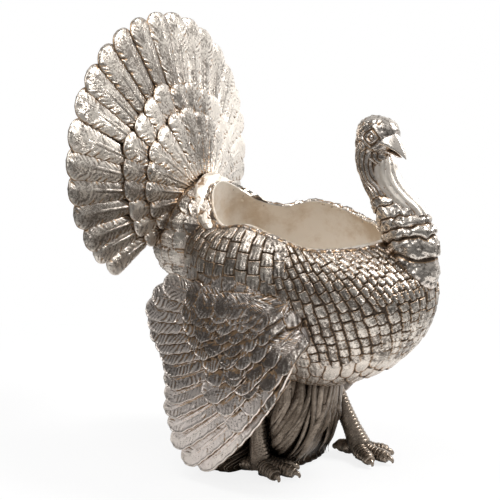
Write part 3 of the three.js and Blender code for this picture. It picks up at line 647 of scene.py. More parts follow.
def makeBody():
    angle, v = bodyGrid()
    skin = bodySkin(angle[None, :], v[:, None])
    waistRow = len(v) // 2
    normals = facingOut(skin, waistRow, 0)
    skin, marks = plumed(skin, normals, bodyFeathers(1) + bodyFeathers(-1), bodyPlumage)
    # painted light: the belly made paler, for the white floor reflected in it
    marks["tone"] = marks["tone"] + bodyPlumage["bellyPaintedLight"] * smooth(-v[:, None], 0.3, 0.6)
    ring, chips, bend = lipRing(skin[-1], angle)
    grid = np.concatenate([skin, ring])
    inner = smooth(bend, 2.0, 2.8)
    browning = (0.2 + 0.5 * np.clip(-chips, 0, 1)) * (1 - inner) - 0.8 * inner
    ends = dict(tone=0.5, barb=0.0, groove=browning)
    fields = {name: np.concatenate([marks[name], np.broadcast_to(level, ring.shape[:2])])
              for name, level in ends.items()}
    normals = facingOut(grid, waistRow, 0)
    n = body["columns"]
    for side, columns in (("left", np.arange(n)), ("right", np.r_[np.arange(n - 1, len(angle)), 0])):
        shell = Shell()
        half = {name: value[:, columns] for name, value in fields.items()}
        shell.add(grid[:, columns], gridFaces(len(grid), n, False), **half)
        makePiece(f"body_plumage_{side}", shell, ["body_shell"], normals[:, columns])


bowl = dict(
    columns=220, upperRows=26, lowerRows=30, floorRows=13,
    wall=1.2, spread=1.02,
    swells=[(0.5, 24, 31), (0.15, 7, 32)],
)


def makeBowl():
    angle = around(bowl["columns"])[None, :]
    v = np.concatenate([np.linspace(1.0, 0, bowl["upperRows"], endpoint=False),
                        np.linspace(0, -body["cavityEnd"], bowl["lowerRows"])])[:, None]
    wall = cavitySkin(angle, v)
    shares = np.linspace(1, 0.002, bowl["floorRows"] + 1)[1:, None, None]
    floor = wall[-1] * np.array([1, 1, 0]) * shares + upward * body["cavityFloor"]
    inner = np.concatenate([wall, floor])
    inner = inner + swells(inner, bowl["swells"])[..., None]
    outer = inner[::-1] * np.array([bowl["spread"], bowl["spread"], 1]) - upward * bowl["wall"]
    shell = Shell()
    shell.addLoop(np.concatenate([inner, outer]), tone=0.5)
    makePiece("bowl_lining", shell, ["body_shell"])


makeBody()
makeBowl()
print("body made")


# Tail fan

tail = dict(
    rootBehind=118, rootHeight=270,
    sweep=math.radians(16.5),
    meanReach=151, topReach=48, sideReach=8,
    edgeTilt=0.1, turnJitter=0.02, reaches=(0.97, 1.03),
    sag=1.2,  # a little sag of each vane keeps its neighbours' edges apart
    toneSwing=0.45, toneStep=5.3, leftFrom=(0.1, 0.9), topAngle=0.15, topSpread=0.35,
    seed=41, backSeed=51,
)
# Rows from the rim of the fan inwards: count, spread in degrees to each side, first and last share of the
# reach, width as a share of the pitch, lift off the cone, and the painted light that makes the left side
# paler and the top darker
tailRows = [
    dict(count=25, spread=120, start=0.47, end=1.0, width=1.14, lift=0.0, look="outer",
         leftPaintedLight=0.7, topPaintedLight=-0.8),
    dict(count=19, spread=118, start=0.36, end=0.62, width=1.24, lift=2.7, look="middle",
         leftPaintedLight=0.5, topPaintedLight=-0.3),
    dict(count=19, spread=140, start=0.1, end=0.46, width=1.18, lift=6.2, look="inner",
         leftPaintedLight=0.3),
]
featherShape = [(0, 0.42), (0.55, 0.76), (0.86, 1), (1, 1)]
shortShape = [(0, 0.74), (0.5, 0.88), (0.8, 1), (1, 1)]
tailFeather = dict(
    plainFeather, outline=featherShape, strokes=0.16, tipLength=0.85, tipPower=2.3, thickness=2.8,
    shaftEnd=0.72, roof=1.5, dark=0.7, knob=0.3, fanDepth=0.5,
)
tailLooks = dict(
    outer=dict(tailFeather, rows=92, columns=29, tipLength=0.9, thickness=2.6, shaft=0.9, dark=0.8,
               knobLength=0.95, fanLines=5, fanDepth=0.4, nickDepth=0.75),
    middle=dict(tailFeather, rows=52, columns=27, outline=shortShape, shaft=0.6, shaftEnd=0.6, roof=1.3,
                dark=0.6, nicks=3),
    inner=dict(tailFeather, rows=80, columns=25, shaftWidth=0.7),
    back=dict(tailFeather, rows=48, columns=21, strokes=0.2, shaftWidth=0.9, roof=1.6, nickDepth=0.9),
)
# Rows on the back of the fan, pointing the other way
tailBackRows = [
    dict(count=19, spread=120, start=0.34, end=0.74, width=1.16, lift=4.2, look="back"),
    dict(count=15, spread=126, start=0.1, end=0.5, width=1.16, lift=8.1, look="back"),
    dict(count=13, spread=130, start=0.04, end=0.28, width=1.3, lift=9.4, look="back"),
]


def tailReach(angle):
    return tail["meanReach"] + tail["topReach"] * np.cos(angle) - tail["sideReach"] * np.cos(2 * angle)


def fanPoint(angle, reach, across, lift):
    # angle from the top feather towards the right wing, then distance, sideways and lift off the cone
    sweep = tail["sweep"]
    out = np.array([-math.sin(sweep), -math.cos(sweep) * math.sin(angle), math.cos(sweep) * math.cos(angle)])
    side = np.array([0, -math.cos(angle), -math.sin(angle)])
    face = np.cross(out, side)
    root = np.array([-tail["rootBehind"], 0, tail["rootHeight"]])
    reach, across, lift = (np.asarray(value, float)[..., None] for value in (reach, across, lift))
    return root + out * reach + side * across + face * lift


def addTailRow(shell, row, seed, back=1):
    rng = np.random.default_rng(seed)
    middle = (row["count"] - 1) / 2
    pitch = math.radians(row["spread"]) / middle
    inside = row["end"] < 1
    for n in range(row["count"]):
        angle = (n - middle) * pitch + rng.uniform(-tail["turnJitter"], tail["turnJitter"])
        reach = float(tailReach(angle)) * (rng.uniform(*tail["reaches"]) if inside else 1)
        side = np.sign(n - middle)
        halfWidth = reach * row["end"] * pitch * row["width"] / 2
        length = reach * (row["end"] - row["start"])

        def lay(along, across, height):
            share = blend(row["start"], row["end"], along)
            off = row["lift"] + height + tail["edgeTilt"] * side * across + tail["sag"] * along * inside
            return fanPoint(angle, reach * share, across, off * back)

        tone = 0.5 + tail["toneSwing"] * math.sin(tail["toneStep"] * n)
        # painted light on the left side of the fan, and painted shade at its top
        tone = tone + row.get("leftPaintedLight", 0) * smooth(-angle, *tail["leftFrom"])
        atTop = math.exp(-((angle - tail["topAngle"]) / tail["topSpread"]) ** 2)
        look = dict(tailLooks[row["look"]], tone=tone + row.get("topPaintedLight", 0) * atTop)
        cutFeather(shell, lay, length, halfWidth, look, rng, side)


# The cast web behind the feathers. Its section is given as (share of the reach, lift off the cone).
web = dict(
    halfSpread=math.radians(121), steps=90,
    section=[(0.04, 5), (0.40, 6), (0.43, 2.4), (0.57, 1.6),
             (0.62, -1.5), (0.66, -2.6), (0.6, -5), (0.1, -7)],
)


def makeWeb():
    rings = []
    for angle in np.linspace(-1, 1, web["steps"]) * web["halfSpread"]:
        reach = float(tailReach(angle))
        rings.append([fanPoint(angle, reach * share, 0.0, lift) for share, lift in web["section"]])
    shell = Shell()
    shell.addLoft(np.array(rings), groove=0.9, tone=0.2)
    makePiece("tail_web", shell, ["tail_fan"])


def makeTail():
    for seed, row in enumerate(tailRows):
        shell = Shell()
        addTailRow(shell, row, tail["seed"] + seed)
        makePiece(f"tail_feathers_{row['look']}", shell, ["tail_fan"])
    shell = Shell()
    for seed, row in enumerate(tailBackRows):
        addTailRow(shell, row, tail["backSeed"] + seed, back=-1)
    makePiece("tail_feathers_back", shell, ["tail_fan"])
    makeWeb()


# Rump: the block under the fan, with plumage of its own, and the smooth collar round the scoop

rump = dict(
    reach=34, halfWidth=58, low=178, high=286, bite=4,
    rows=90, columns=220,
    frontShares=(0.02, 0.35, 0.7),  # rings of its front end, which lies in the body's wall
    featherRings=(8, 25, 42, 59, 73, 80, 84, 86, 88), featherPitch=22, featherLength=(21, 26),
    featherForm=(12, 0.45, 2.4, 2.8),  # half width, squareness, tip power and lift
    rootBehind=6, seed=62,
)
rumpShares = [(0, 1), (0.4, 1.0), (0.66, 0.93), (0.84, 0.78), (0.95, 0.5), (1, 0.08)]
rumpPlumage = dict(seed=61, wobble=1.6, wobbleSize=9, edgeWidth=1.4, grooveWidth=0.8, rise=1.3,
                   rim=0.7, shaft=0.2, crown=0.4, sink=2.2, comb=0.3, combPitch=4.4, combTone=2.0,
                   swells=[(0.5, 12, 63)])


def bodyRear(y, z):
    # how far back the body's skin lies at each place
    angle, v = np.meshgrid(np.linspace(0.5, 1.5, 121) * pi, np.linspace(-0.6, 1, 81))
    skin = bodySkin(angle, v).reshape(-1, 3)
    away = np.hypot(y[:, None] - skin[:, 1], z[:, None] - skin[:, 2])
    return skin[away.argmin(1), 0]


def rumpFeathers(form, normals):
    # rings of plates that point back, the last ones over the domed end
    feathers, rng = [], np.random.default_rng(rump["seed"])
    rows, columns = form.shape[:2]
    for row, i in enumerate(rump["featherRings"]):
        count = max(3, int(runLength(form[i])[-1] / rump["featherPitch"]))
        for n in range(count):
            j = int((n + 0.5 * (row % 2)) / count * columns) % columns
            along = unit(form[min(i + 3, rows - 1), j] - form[i - 3, j])
            root = form[i, j] - along * rump["rootBehind"]
            length = rng.uniform(*rump["featherLength"])
            feathers.append((root, along, normals[i, j], length, *rump["featherForm"]))
    return feathers


def makeRump():
    share = np.linspace(0, 1, rump["rows"])[:, None]
    angle = around(rump["columns"])[None, :]
    narrow = curveThrough(rumpShares, share, 1)
    middle, half = (rump["low"] + rump["high"]) / 2, (rump["high"] - rump["low"]) / 2
    y = rump["halfWidth"] * narrow * np.cos(angle)
    z = middle + half * narrow * np.sin(angle)
    start = bodyRear(y[0], z[0]) + rump["bite"]
    form = np.stack([blend(start, -body["rear"] - rump["reach"], share), y, z], -1)
    normals = facingOut(form, rump["rows"] // 2, 1)
    form, marks = plumed(form, normals, rumpFeathers(form, normals), rumpPlumage)
    shares = np.array(rump["frontShares"])[:, None]
    y, z = y[0] * shares, middle + (z[0] - middle) * shares
    front = np.stack([bodyRear(y.ravel(), z.ravel()).reshape(y.shape) + rump["bite"], y, z], -1)
    starts = dict(tone=0.5, barb=0.0, groove=0.5)
    fields = {name: np.concatenate([np.full(y.shape, level), marks[name]])
              for name, level in starts.items()}
    shell = Shell()
    shell.addLoft(np.concatenate([front, form]), **fields)
    makePiece("tail_rump", shell, ["tail_fan"])


collar = dict(
    spread=0.25, radius=9.0, leastRadius=0.4, out=6.0, drop=2.5, steps=150, sides=48,
    crackSize=12, crackSeed=66, crackDepth=0.8,
    creasePitch=11, creaseBend=(1.5, 9, 67),
    swell=(1.2, 10, 64), grain=(1.0, 4, 65), grainHeight=0.8,
)


def collarRelief(distance, turn):
    # cracked plates, with creases across the outer side
    radius = collar["radius"]
    spot = np.stack(np.broadcast_arrays(distance, radius * np.cos(turn), radius * np.sin(turn)), -1)
    crack = smooth(pebbles(spot, collar["crackSize"], collar["crackSeed"]), 0.6, 0.76)
    crease = np.abs(np.sin(distance * pi / collar["creasePitch"] + swells(spot, [collar["creaseBend"]])))
    crack = np.maximum(crack, (1 - smooth(crease, 0.05, 0.3)) * smooth(np.cos(turn), -0.6, 0.2))
    grain = swells(spot, [collar["grain"]])
    height = swells(spot, [collar["swell"]]) + collar["grainHeight"] * grain - collar["crackDepth"] * crack
    return height, crack * 0.8 + 0.25 * np.clip(-grain, 0, 1) - 0.25


def makeCollar():
    spread = collar["spread"] * pi
    angle = np.linspace(pi - spread, pi + spread, collar["steps"])
    radius, high = rimAt(angle)
    reach = radius + collar["out"]
    path = np.stack([reach * np.cos(angle), reach * np.sin(angle), high - collar["drop"]], -1)
    ends = np.sin(np.linspace(0, pi, collar["steps"])) ** 0.55
    radii = collar["radius"] * ends + collar["leastRadius"]
    shell = Shell()
    tube(shell, path, radii, collar["sides"], relief=collarRelief, tone=1.4)
    makePiece("tail_collar", shell, ["body_shell"])


makeTail()
makeRump()
makeCollar()
print("tail made")


# Wings

wing = dict(
    bulge=112, bulgeAhead=15, bulgeHeight=85, lengthFlatness=32, heightFlatness=29.3,
    rumpTuck=15, tuckStart=15, tuckLength=100, tuckLowHeight=110, tuckHeightSpan=100,
    featherWidth=23.52, bow=11, topBow=3, tilt=0.13, rootSink=6,
    back=136, up=200,
    endJitter=(0.94, 1.06), toneJitter=0.3,
)
# The padded shoulder over the feathers' roots
pad = dict(
    halfLength=80, halfHeight=37, thickness=18, ahead=-12, height=188, sink=13.5,
    tilt=-0.3, inside=0.08, rows=130, columns=120, endShare=0.985,
    scaleLean=(-0.5, -0.87), scalePitch=15, scaleWidth=19, scaleTurn=0.2, scaleEdge=4, nearest=6,
    rootBehind=5, lengths=(1.6, 1.85), lifts=(1.6, 2.2),
    scaleForm=(10.64, 0.35, 2.0),  # half width, squareness and tip power
)
# Tips of the flight feathers, lowest first, as shares of the wing's reach back and up
wingTips = [
    (-0.39, 0.085), (-0.54, 0.09), (-0.64, 0.17), (-0.66, 0.261), (-0.7, 0.34), (-0.69, 0.416),
    (-0.7, 0.495), (-0.715, 0.565), (-0.76, 0.625), (-0.82, 0.67), (-0.893, 0.712), (-0.94, 0.765),
    (-0.99, 0.82), (-0.95, 0.89), (-0.86, 0.955),
]
wingRoots = ((0.46, 0.8), (-0.12, 0.97))
flightShape = [(0, 0.2), (0.12, 0.6), (0.3, 0.85), (0.86, 1), (1, 1)]
wingFeather = dict(plainFeather, outline=flightShape, strokes=0.42, shaftWidth=0.65, ragged=0.03)
wingLooks = dict(
    flight=dict(wingFeather, rows=112, columns=27, tipLength=1.4, thickness=1.6, shaftEnd=0.97,
                rim=1.3, dish=1.3, dark=0.8, nicks=5),
    covert=dict(wingFeather, rows=66, columns=25, tipLength=1.1, thickness=1.7, shaft=0.6,
                shaftEnd=0.9, roof=0.1, rim=1.2, dish=1.2, dark=0.9),
    scale=dict(wingFeather, rows=32, columns=21, outline=shortShape, strokes=0.38, tipLength=1.0,
               thickness=1.8, shaft=0.2, shaftWidth=0.7, shaftEnd=0.8, roof=0.3, rim=1.0, dish=0.8,
               ragged=0.02, dark=1.0, nicks=3, nickDepth=0.8),
)
# Tone of the lowest feather, tone of the highest, and the share of the wing over which it changes: painted
# light that makes the low feathers paler than the high ones
wingTones = dict(flight=(2.4, 1.2, 0.6), covert=(2.0, 0.8, 0.5))
# Layers over the flight feathers: how many, first and last share of a feather's length, width, lift
covertLayers = [
    dict(count=10, start=0.08, end=0.6, width=29, lift=2.6),
    dict(count=8, start=0.02, end=0.43, width=29, lift=4.2),
]
# Rows of short rounded scales over the coverts' roots: how many, where each starts, its lift, and how
# far up the wing the row begins
scaleRows = [
    dict(count=7, start=0.17, lift=5.0, low=0.0), dict(count=7, start=0.06, lift=5.6, low=0.0),
    dict(count=7, start=-0.05, lift=6.0, low=0.05), dict(count=5, start=-0.15, lift=6.3, low=0.36),
    dict(count=4, start=-0.25, lift=6.6, low=0.6),
]
scaleSize = dict(length=40, width=26, lengths=(0.9, 1.1))
padPlumage = dict(seed=71, wobble=0.8, wobbleSize=8, edgeWidth=1.3, grooveWidth=0.8, rise=1.2,
                  rim=0.9, shaft=0.0, crown=0.0, sink=2.6, comb=0.3, combPitch=4.8, combTone=3.0,
                  swells=[(0.5, 11, 74)])


def wingSkin(x, z):
    fall = ((x - wing["bulgeAhead"]) / wing["lengthFlatness"]) ** 2
    fall = fall + ((z - wing["bulgeHeight"]) / wing["heightFlatness"]) ** 2
    tuck = smooth(-x, wing["tuckStart"], wing["tuckStart"] + wing["tuckLength"])
    tuck = tuck * smooth(z, wing["tuckLowHeight"], wing["tuckLowHeight"] + wing["tuckHeightSpan"])
    return wing["bulge"] - fall - wing["rumpTuck"] * tuck


def wingLine(t):
    # root, tip and bow of the feather at a share of the way from the lowest to the highest
    tips = np.array([(t_, *tip) for t_, tip in zip(np.linspace(0, 1, len(wingTips)), wingTips)])
    reach = np.array([wing["back"], wing["up"]])
    tip = np.array([curveThrough(tips, t, 1), curveThrough(tips, t, 2)]) * reach
    root = blend(np.array(wingRoots[0]), np.array(wingRoots[1]), t) * reach
    return root, tip, blend(wing["bow"], wing["topBow"], t)


def addWingFeather(shell, side, t, start, end, width, lift, look, rng):
    root, tip, bow = wingLine(t)
    run = tip - root
    across = np.array([-run[1], run[0]]) / np.linalg.norm(run)

    def lay(along, offset, height):
        s = blend(start, end, along)
        bend = bow * np.sin(s * pi)
        p = root + s[..., None] * run + (offset + bend)[..., None] * across
        off = lift * smooth(s - start, -0.02, 0.16) + height + wing["tilt"] * offset
        off = off - wing["rootSink"] * (1 - smooth(s - start, 0.0, 0.12))
        return np.stack([p[..., 0], side * (wingSkin(p[..., 0], p[..., 1]) + off), p[..., 1]], -1)

    cutFeather(shell, lay, np.linalg.norm(run) * (end - start), width / 2, look, rng)


def padScales(form, normals, rng):
    # rounded scales in staggered rows that point back and down
    outside = np.argwhere(normals[..., 1] > 0.1)
    flat = form[outside[:, 0], outside[:, 1]][:, [0, 2]]
    lean = np.array(pad["scaleLean"]) / np.linalg.norm(pad["scaleLean"])
    aside = np.array([-lean[1], lean[0]])
    along, across = flat @ lean, flat @ aside
    pitch, width, edge = pad["scalePitch"], pad["scaleWidth"], pad["scaleEdge"]
    feathers = []
    for row, a in enumerate(np.arange(along.min() - edge, along.max() + edge, pitch)):
        for b in np.arange(across.min(), across.max(), width) + (row % 2) * width / 2:
            away = np.hypot(along - a, across - b)
            if away.min() > pad["nearest"]:
                continue
            i, j = outside[away.argmin()]
            turn = rng.uniform(-pad["scaleTurn"], pad["scaleTurn"])
            way = np.array([lean[0] + turn * aside[0], 0, lean[1] + turn * aside[1]])
            way = unit(way - normals[i, j] * (way @ normals[i, j]))
            length = pitch * rng.uniform(*pad["lengths"])
            feathers.append((form[i, j] - way * pad["rootBehind"], way, normals[i, j], length,
                             *pad["scaleForm"], rng.uniform(*pad["lifts"])))
    return feathers


def makeWingPad(side, word):
    share = np.sin(np.linspace(-1, 1, pad["rows"]) * pi / 2 * pad["endShare"])[:, None]
    angle = around(pad["columns"])[None, :]
    rounded = np.sqrt(np.clip(1 - share ** 2, 0, 1))
    x = pad["ahead"] + share * pad["halfLength"] + 0 * angle
    middle = pad["height"] + pad["tilt"] * (x - pad["ahead"])
    bulge = np.where(np.cos(angle) > 0, 1, pad["inside"]) * np.cos(angle)
    y = wingSkin(x, middle) - pad["sink"] + pad["thickness"] * rounded * bulge
    form = np.stack([x, y, middle + pad["halfHeight"] * rounded * np.sin(angle)], -1)
    normals = facingOut(form, pad["rows"] // 2, 1)
    rng = np.random.default_rng(72 if side > 0 else 73)
    form, marks = plumed(form, normals, padScales(form, normals, rng), padPlumage)
    shell = Shell()
    shell.addLoft(form * np.array([1, side, 1]), **marks)
    makePiece(f"wing_shoulder_{word}", shell, [f"{word}_wing"])


def toned(kind, t, rng):
    # the look of a feather at a share of the way up the wing
    low, high, share = wingTones[kind]
    jitter = rng.uniform(-wing["toneJitter"], wing["toneJitter"])
    return dict(wingLooks[kind], tone=blend(low, high, smooth(t, 0, share)) + jitter)


def makeWing(side, word):
    rng = np.random.default_rng(80 if side > 0 else 81)
    shell = Shell()
    for t in np.linspace(0, 1, len(wingTips)):
        addWingFeather(shell, side, t, 0.0, 1.0, wing["featherWidth"], 0.0, toned("flight", t, rng), rng)
    makePiece(f"wing_flights_{word}", shell, [f"{word}_wing"])
    shell = Shell()
    for layer in covertLayers:
        for t in np.linspace(0.07, 0.99, layer["count"]):
            end = layer["end"] * rng.uniform(*wing["endJitter"])
            look = toned("covert", t, rng)
            addWingFeather(shell, side, t, layer["start"], end, layer["width"], layer["lift"], look, rng)
    for n, row in enumerate(scaleRows):
        for t in blend(row["low"], 1, (np.arange(row["count"]) + 0.5 * (n % 2)) / row["count"]):
            root, tip, _ = wingLine(t)
            length = scaleSize["length"] * rng.uniform(*scaleSize["lengths"])
            end = row["start"] + length / np.linalg.norm(tip - root)
            look = dict(wingLooks["scale"], tone=rng.uniform(0.0, 1.0))
            addWingFeather(shell, side, t, row["start"], end, scaleSize["width"], row["lift"], look, rng)
    makePiece(f"wing_coverts_{word}", shell, [f"{word}_wing"])
    makeWingPad(side, word)


makeWing(-1, "right")
makeWing(1, "left")
print("wings made")


# Neck and head

# Share of the rise, distance ahead, half depth, half width and lean of each ring
neckStations = [
    (0.0, 134, 11, 9, 0), (0.066, 133, 18, 14.5, 0), (0.171, 131, 22.5, 17.5, 0), (0.289, 129, 26, 19, 2),
    (0.408, 126.5, 28, 19.5, 5), (0.539, 121, 27.5, 19.5, 12), (0.63, 112, 23.5, 18, 18),
    (0.70, 102, 17, 15, 22), (0.79, 93, 13.6, 12.8, 20), (0.882, 85, 11.6, 11.6, 12),
    (1.0, 78.5, 12.2, 11.8, 2), (1.09, 79, 13.5, 12.5, -6), (1.17, 82, 14, 12, -10),
]
neck = dict(
    footHeight=198.4, rise=121.6, span=(0.01, 1.16), rows=260, columns=150,
    creases=(196, 209.6, 235.3, 253.9, 264, 273.4, 283.7, 291, 298, 305),
    rollDepth=(0, 5.0, 5.0, 3.8, 3.4, 3.2, 2.8, 2.0, 1.4, 0.8),
    sag=0.7,  # each roll hangs over the crease below it
    rollsEnd=(0.72, 0.86), stringsStart=(0.7, 0.85), strings=8.5, stringDepth=1.5,
    rollSwells=[(1.5, 6, 92), (0.8, 3.2, 93)],
    # noise as (height, size, seed); the creases wander, most of all at the foot
    wander=(1.8, 13, 91), stringWander=(1.7, 5.5, 90), footWander=(5.0, 17, 88),
    knobs=(0.55, 9, 89), stringBend=(2.6, 14, 94), stringGrain=(0.5, 5, 95), mottle=(0.4, 10, 96),
)


def rolls(z):
    # how far through its roll a height lies, and that roll's depth
    creases, depths = np.array(neck["creases"], float), np.array(neck["rollDepth"], float)
    i = np.clip(np.searchsorted(creases, z, side="right") - 1, 0, len(creases) - 2)
    return np.clip((z - creases[i]) / (creases[i + 1] - creases[i]), 0, 1), depths[i + 1]


def neckRelief(form, s, angle):
    # knobbed rolls of skin round the foot, and strings of skin from there up to the head
    wave = swells(form, [neck["wander"]]) + 2.0 * np.cos(2 * angle)
    wave = wave - 2.0 * np.cos(angle) * smooth(s, 0, 0.4)
    drawnOut = form * np.array([1, 1, 0.4])
    wave = wave + swells(drawnOut, [neck["stringWander"]]) * smooth(s, 0.3, 0.45)
    wave = wave + swells(form, [neck["footWander"]]) * (1 - smooth(s, 0.35, 0.6))
    part, depth = rolls(neck["footHeight"] + neck["rise"] * s + wave)
    part = part ** neck["sag"]
    bulge = depth * (1 + swells(form, [neck["knobs"]])) * (np.sin(pi * part) ** 0.75 - 0.75)
    rolled, stringy = 1 - smooth(s, *neck["rollsEnd"]), smooth(s, *neck["stringsStart"])
    height = rolled * (bulge + swells(form, neck["rollSwells"])) * smooth(s, 0.01, 0.07)
    strings = np.abs(np.sin(angle * neck["strings"] + swells(form, [neck["stringBend"]]) + s * 3))
    cords = neck["stringDepth"] * strings ** 0.6 - 0.9 + swells(form, [neck["stringGrain"]])
    groove = rolled * (1 - smooth(np.sin(pi * part), 0.05, 0.42))
    return height + stringy * cords, groove + stringy * (1 - smooth(strings, 0.1, 0.55))


def makeNeck():
    s = np.linspace(*neck["span"], neck["rows"])[:, None]
    angle = around(neck["columns"])[None, :]
    x, depth, width, lean = (curveThrough(neckStations, s, k) for k in (1, 2, 3, 4))
    tilt = np.radians(lean)
    forward = depth * np.cos(angle)
    form = np.stack([x + forward * np.cos(tilt), width * np.sin(angle),
                     neck["footHeight"] + neck["rise"] * s + forward * np.sin(tilt)], -1)
    normals = facingOut(form, neck["rows"] // 2, 0)
    height, groove = neckRelief(form, s, angle)
    shell = Shell()
    tone = 0.5 + swells(form, [neck["mottle"]])
    shell.addLoft(form + normals * height[..., None], tone=tone, groove=groove)
    makePiece("neck_folds", shell, ["neck"])


# The loose sheet of skin from the chin down to the folds. Its edges are given as (share, ahead, height).
dewlap = dict(
    halfWidths=[(0, 5), (0.2, 8), (0.5, 10.5), (0.8, 11), (1, 8)],
    front=[(0, 101, 333), (0.15, 105.5, 326), (0.35, 111.6, 313), (0.6, 121.5, 300),
           (0.85, 135.5, 287), (1, 142, 279)],
    rear=[(0, 86, 336), (0.35, 82, 315), (0.6, 86, 300), (0.85, 98, 284), (1, 108, 272)],
    folds=3, foldDepth=1.0, rows=100, columns=64,
    swells=[(0.35, 6, 97)],
)


def makeDewlap():
    t = np.linspace(0, 1, dewlap["rows"])[:, None]
    angle = around(dewlap["columns"])[None, :]
    front, rear = (np.stack([curveThrough(dewlap[name], t, k) for k in (1, 2)], -1)
                   for name in ("front", "rear"))
    wave = np.cos(angle * dewlap["folds"] * 2 + 1.6 * np.sin(t * 5) + 3 * t)
    wave = 2 * np.abs(wave) ** 0.6 - 1  # round swells with sharp creases between them
    fold = dewlap["foldDepth"] * wave * smooth(np.cos(angle), -0.4, 0.3)
    ahead = 0.5 + 0.5 * np.cos(angle)
    flat = rear + (front - rear) * ahead[..., None] + unit(front - rear) * (fold * np.cos(angle))[..., None]
    y = (curveThrough(dewlap["halfWidths"], t, 1) + fold) * np.sin(angle)
    rings = np.stack([flat[..., 0], y, flat[..., 1]], -1)
    rings = rings + swells(rings, dewlap["swells"])[..., None]
    shell = Shell()
    # painted reflection: the whole sheet made pale, with patina in its creases
    shell.addLoft(rings, tone=2.6, groove=0.9 * smooth(-wave, 0.2, 0.9) - 0.3)
    makePiece("neck_dewlap", shell, ["neck"])


head = dict(
    ahead=88, height=347, turn=math.radians(-20),
    voxel=0.9,
)
# Blobs that are fused into the skull: middle (forward, left, up) and half sizes. Pairs are mirrored.
headBlobs = [
    ((-1, 0, 2), (24, 17, 19.5), False),
    ((8, 0, 8), (16.5, 14.5, 12.8), False),
    ((-12, 0, -5), (14, 13.5, 17), False),
    ((-3, 0, -15), (16, 12, 13), False),
    ((12, 0, -2), (12, 9, 9), False),
    ((6, 9.5, 9.5), (9, 4.5, 3.6), True),
    ((6, 10.5, -6), (9, 5, 5.5), True),
    ((-5, 12.0, -8), (7, 4.5, 7), True),
    ((15, 5.5, 3), (6, 4, 4), True),
    ((15, 0, 3.5), (8.5, 8, 8.5), False),
]
# Marks on the left side of the skull, mirrored on the right: (forward, left, up) of each middle
eye = dict(middle=(6.5, 14.6, 3.0), radius=3.0, sunk=1.2, lid=(5.0, 3.9), lidRadius=0.85, lidProud=0.3,
           ringPitch=2.7, reach=(11, 14))
ear = dict(middle=(-6, 13.5, -7), ringPitch=2.0, reach=(6, 8.5))
nostril = dict(middle=(21, 6.4, -2.5), radius=2.2, depth=1.6)
# Warts on the crown and wrinkles down the cheeks
skullSkin = dict(
    wartSize=4.2, wartDepth=1.4, wartSeed=101, wrinkleDepth=1.9, wrinkleBend=(1.8, 9, 102),
    swells=[(0.5, 3.5, 103), (0.5, 6, 100)], mottle=(0.4, 8, 104),
)
beak = dict(rings=60, sides=48, grain=(0.12, 3, 105), upperUnderside=0.75, lowerUnderside=1.0)
# Forward, height of the middle, half height and half width
upperBeak = [
    (12, 2.0, 9.6, 11.5), (18, 1.6, 9.6, 11.0), (23, 0.0, 8.8, 9.6), (28, -2.8, 7.2, 7.6),
    (32, -6.0, 5.2, 5.3), (35.5, -9.4, 3.3, 3.2), (38.4, -12.8, 1.6, 1.4), (39.8, -15.0, 0.4, 0.4),
]
lowerBeak = [
    (10, -8.4, 3.2, 7.0), (17, -9.4, 2.8, 6.2), (22, -10.8, 2.3, 5.0), (27, -12.4, 1.7, 3.4),
    (31, -13.6, 1.1, 1.9), (33.5, -14.2, 0.4, 0.7),
]


def headSpace(points):
    # from the head's own axes to the figure's
    c, s = math.cos(head["turn"]), math.sin(head["turn"])
    p = np.asarray(points, float)
    x = head["ahead"] + c * p[..., 0] - s * p[..., 1]
    y = s * p[..., 0] + c * p[..., 1]
    return np.stack([x, y, head["height"] + p[..., 2]], -1)


def ball(middle, halves, mirrored=False):
    polar = np.linspace(0, pi, 26)[1:-1][:, None]
    angle = around(40)[None, :]
    unitBall = [np.sin(polar) * np.cos(angle), np.sin(polar) * np.sin(angle), np.cos(polar) + 0 * angle]
    middle = np.array(middle) * (np.array([1, -1, 1]) if mirrored else 1)
    return middle + np.stack(unitBall, -1) * np.array(halves)


def fuse(shell, voxel):
    # one closed skin round all the parts of a shell, as points and faces in the head's axes
    points = np.concatenate(shell.points)
    faces = [*np.concatenate(shell.quads).tolist(), *np.concatenate(shell.triangles).tolist()]
    mesh = bpy.data.meshes.new("fusing")
    mesh.from_pydata(points.tolist(), [], faces)
    helper = addObject("fusing", mesh)
    remesh = helper.modifiers.new("remesh", "REMESH")
    remesh.mode, remesh.voxel_size = "VOXEL", voxel
    soften = helper.modifiers.new("soften", "SMOOTH")
    soften.factor, soften.iterations = 0.5, 6
    fused = helper.evaluated_get(bpy.context.evaluated_depsgraph_get()).to_mesh()
    out, normals = vectorsOf(fused.vertices, "co"), vectorsOf(fused.vertex_normals, "vector")
    polygons = [list(p.vertices) for p in fused.polygons]
    quads = np.array([p for p in polygons if len(p) == 4])
    triangles = np.array([p for p in polygons if len(p) == 3]).reshape(-1, 3)
    helper.to_mesh_clear()
    bpy.data.objects.remove(helper)
    bpy.data.meshes.remove(mesh)
    return out.astype(float), normals.astype(float), quads, triangles


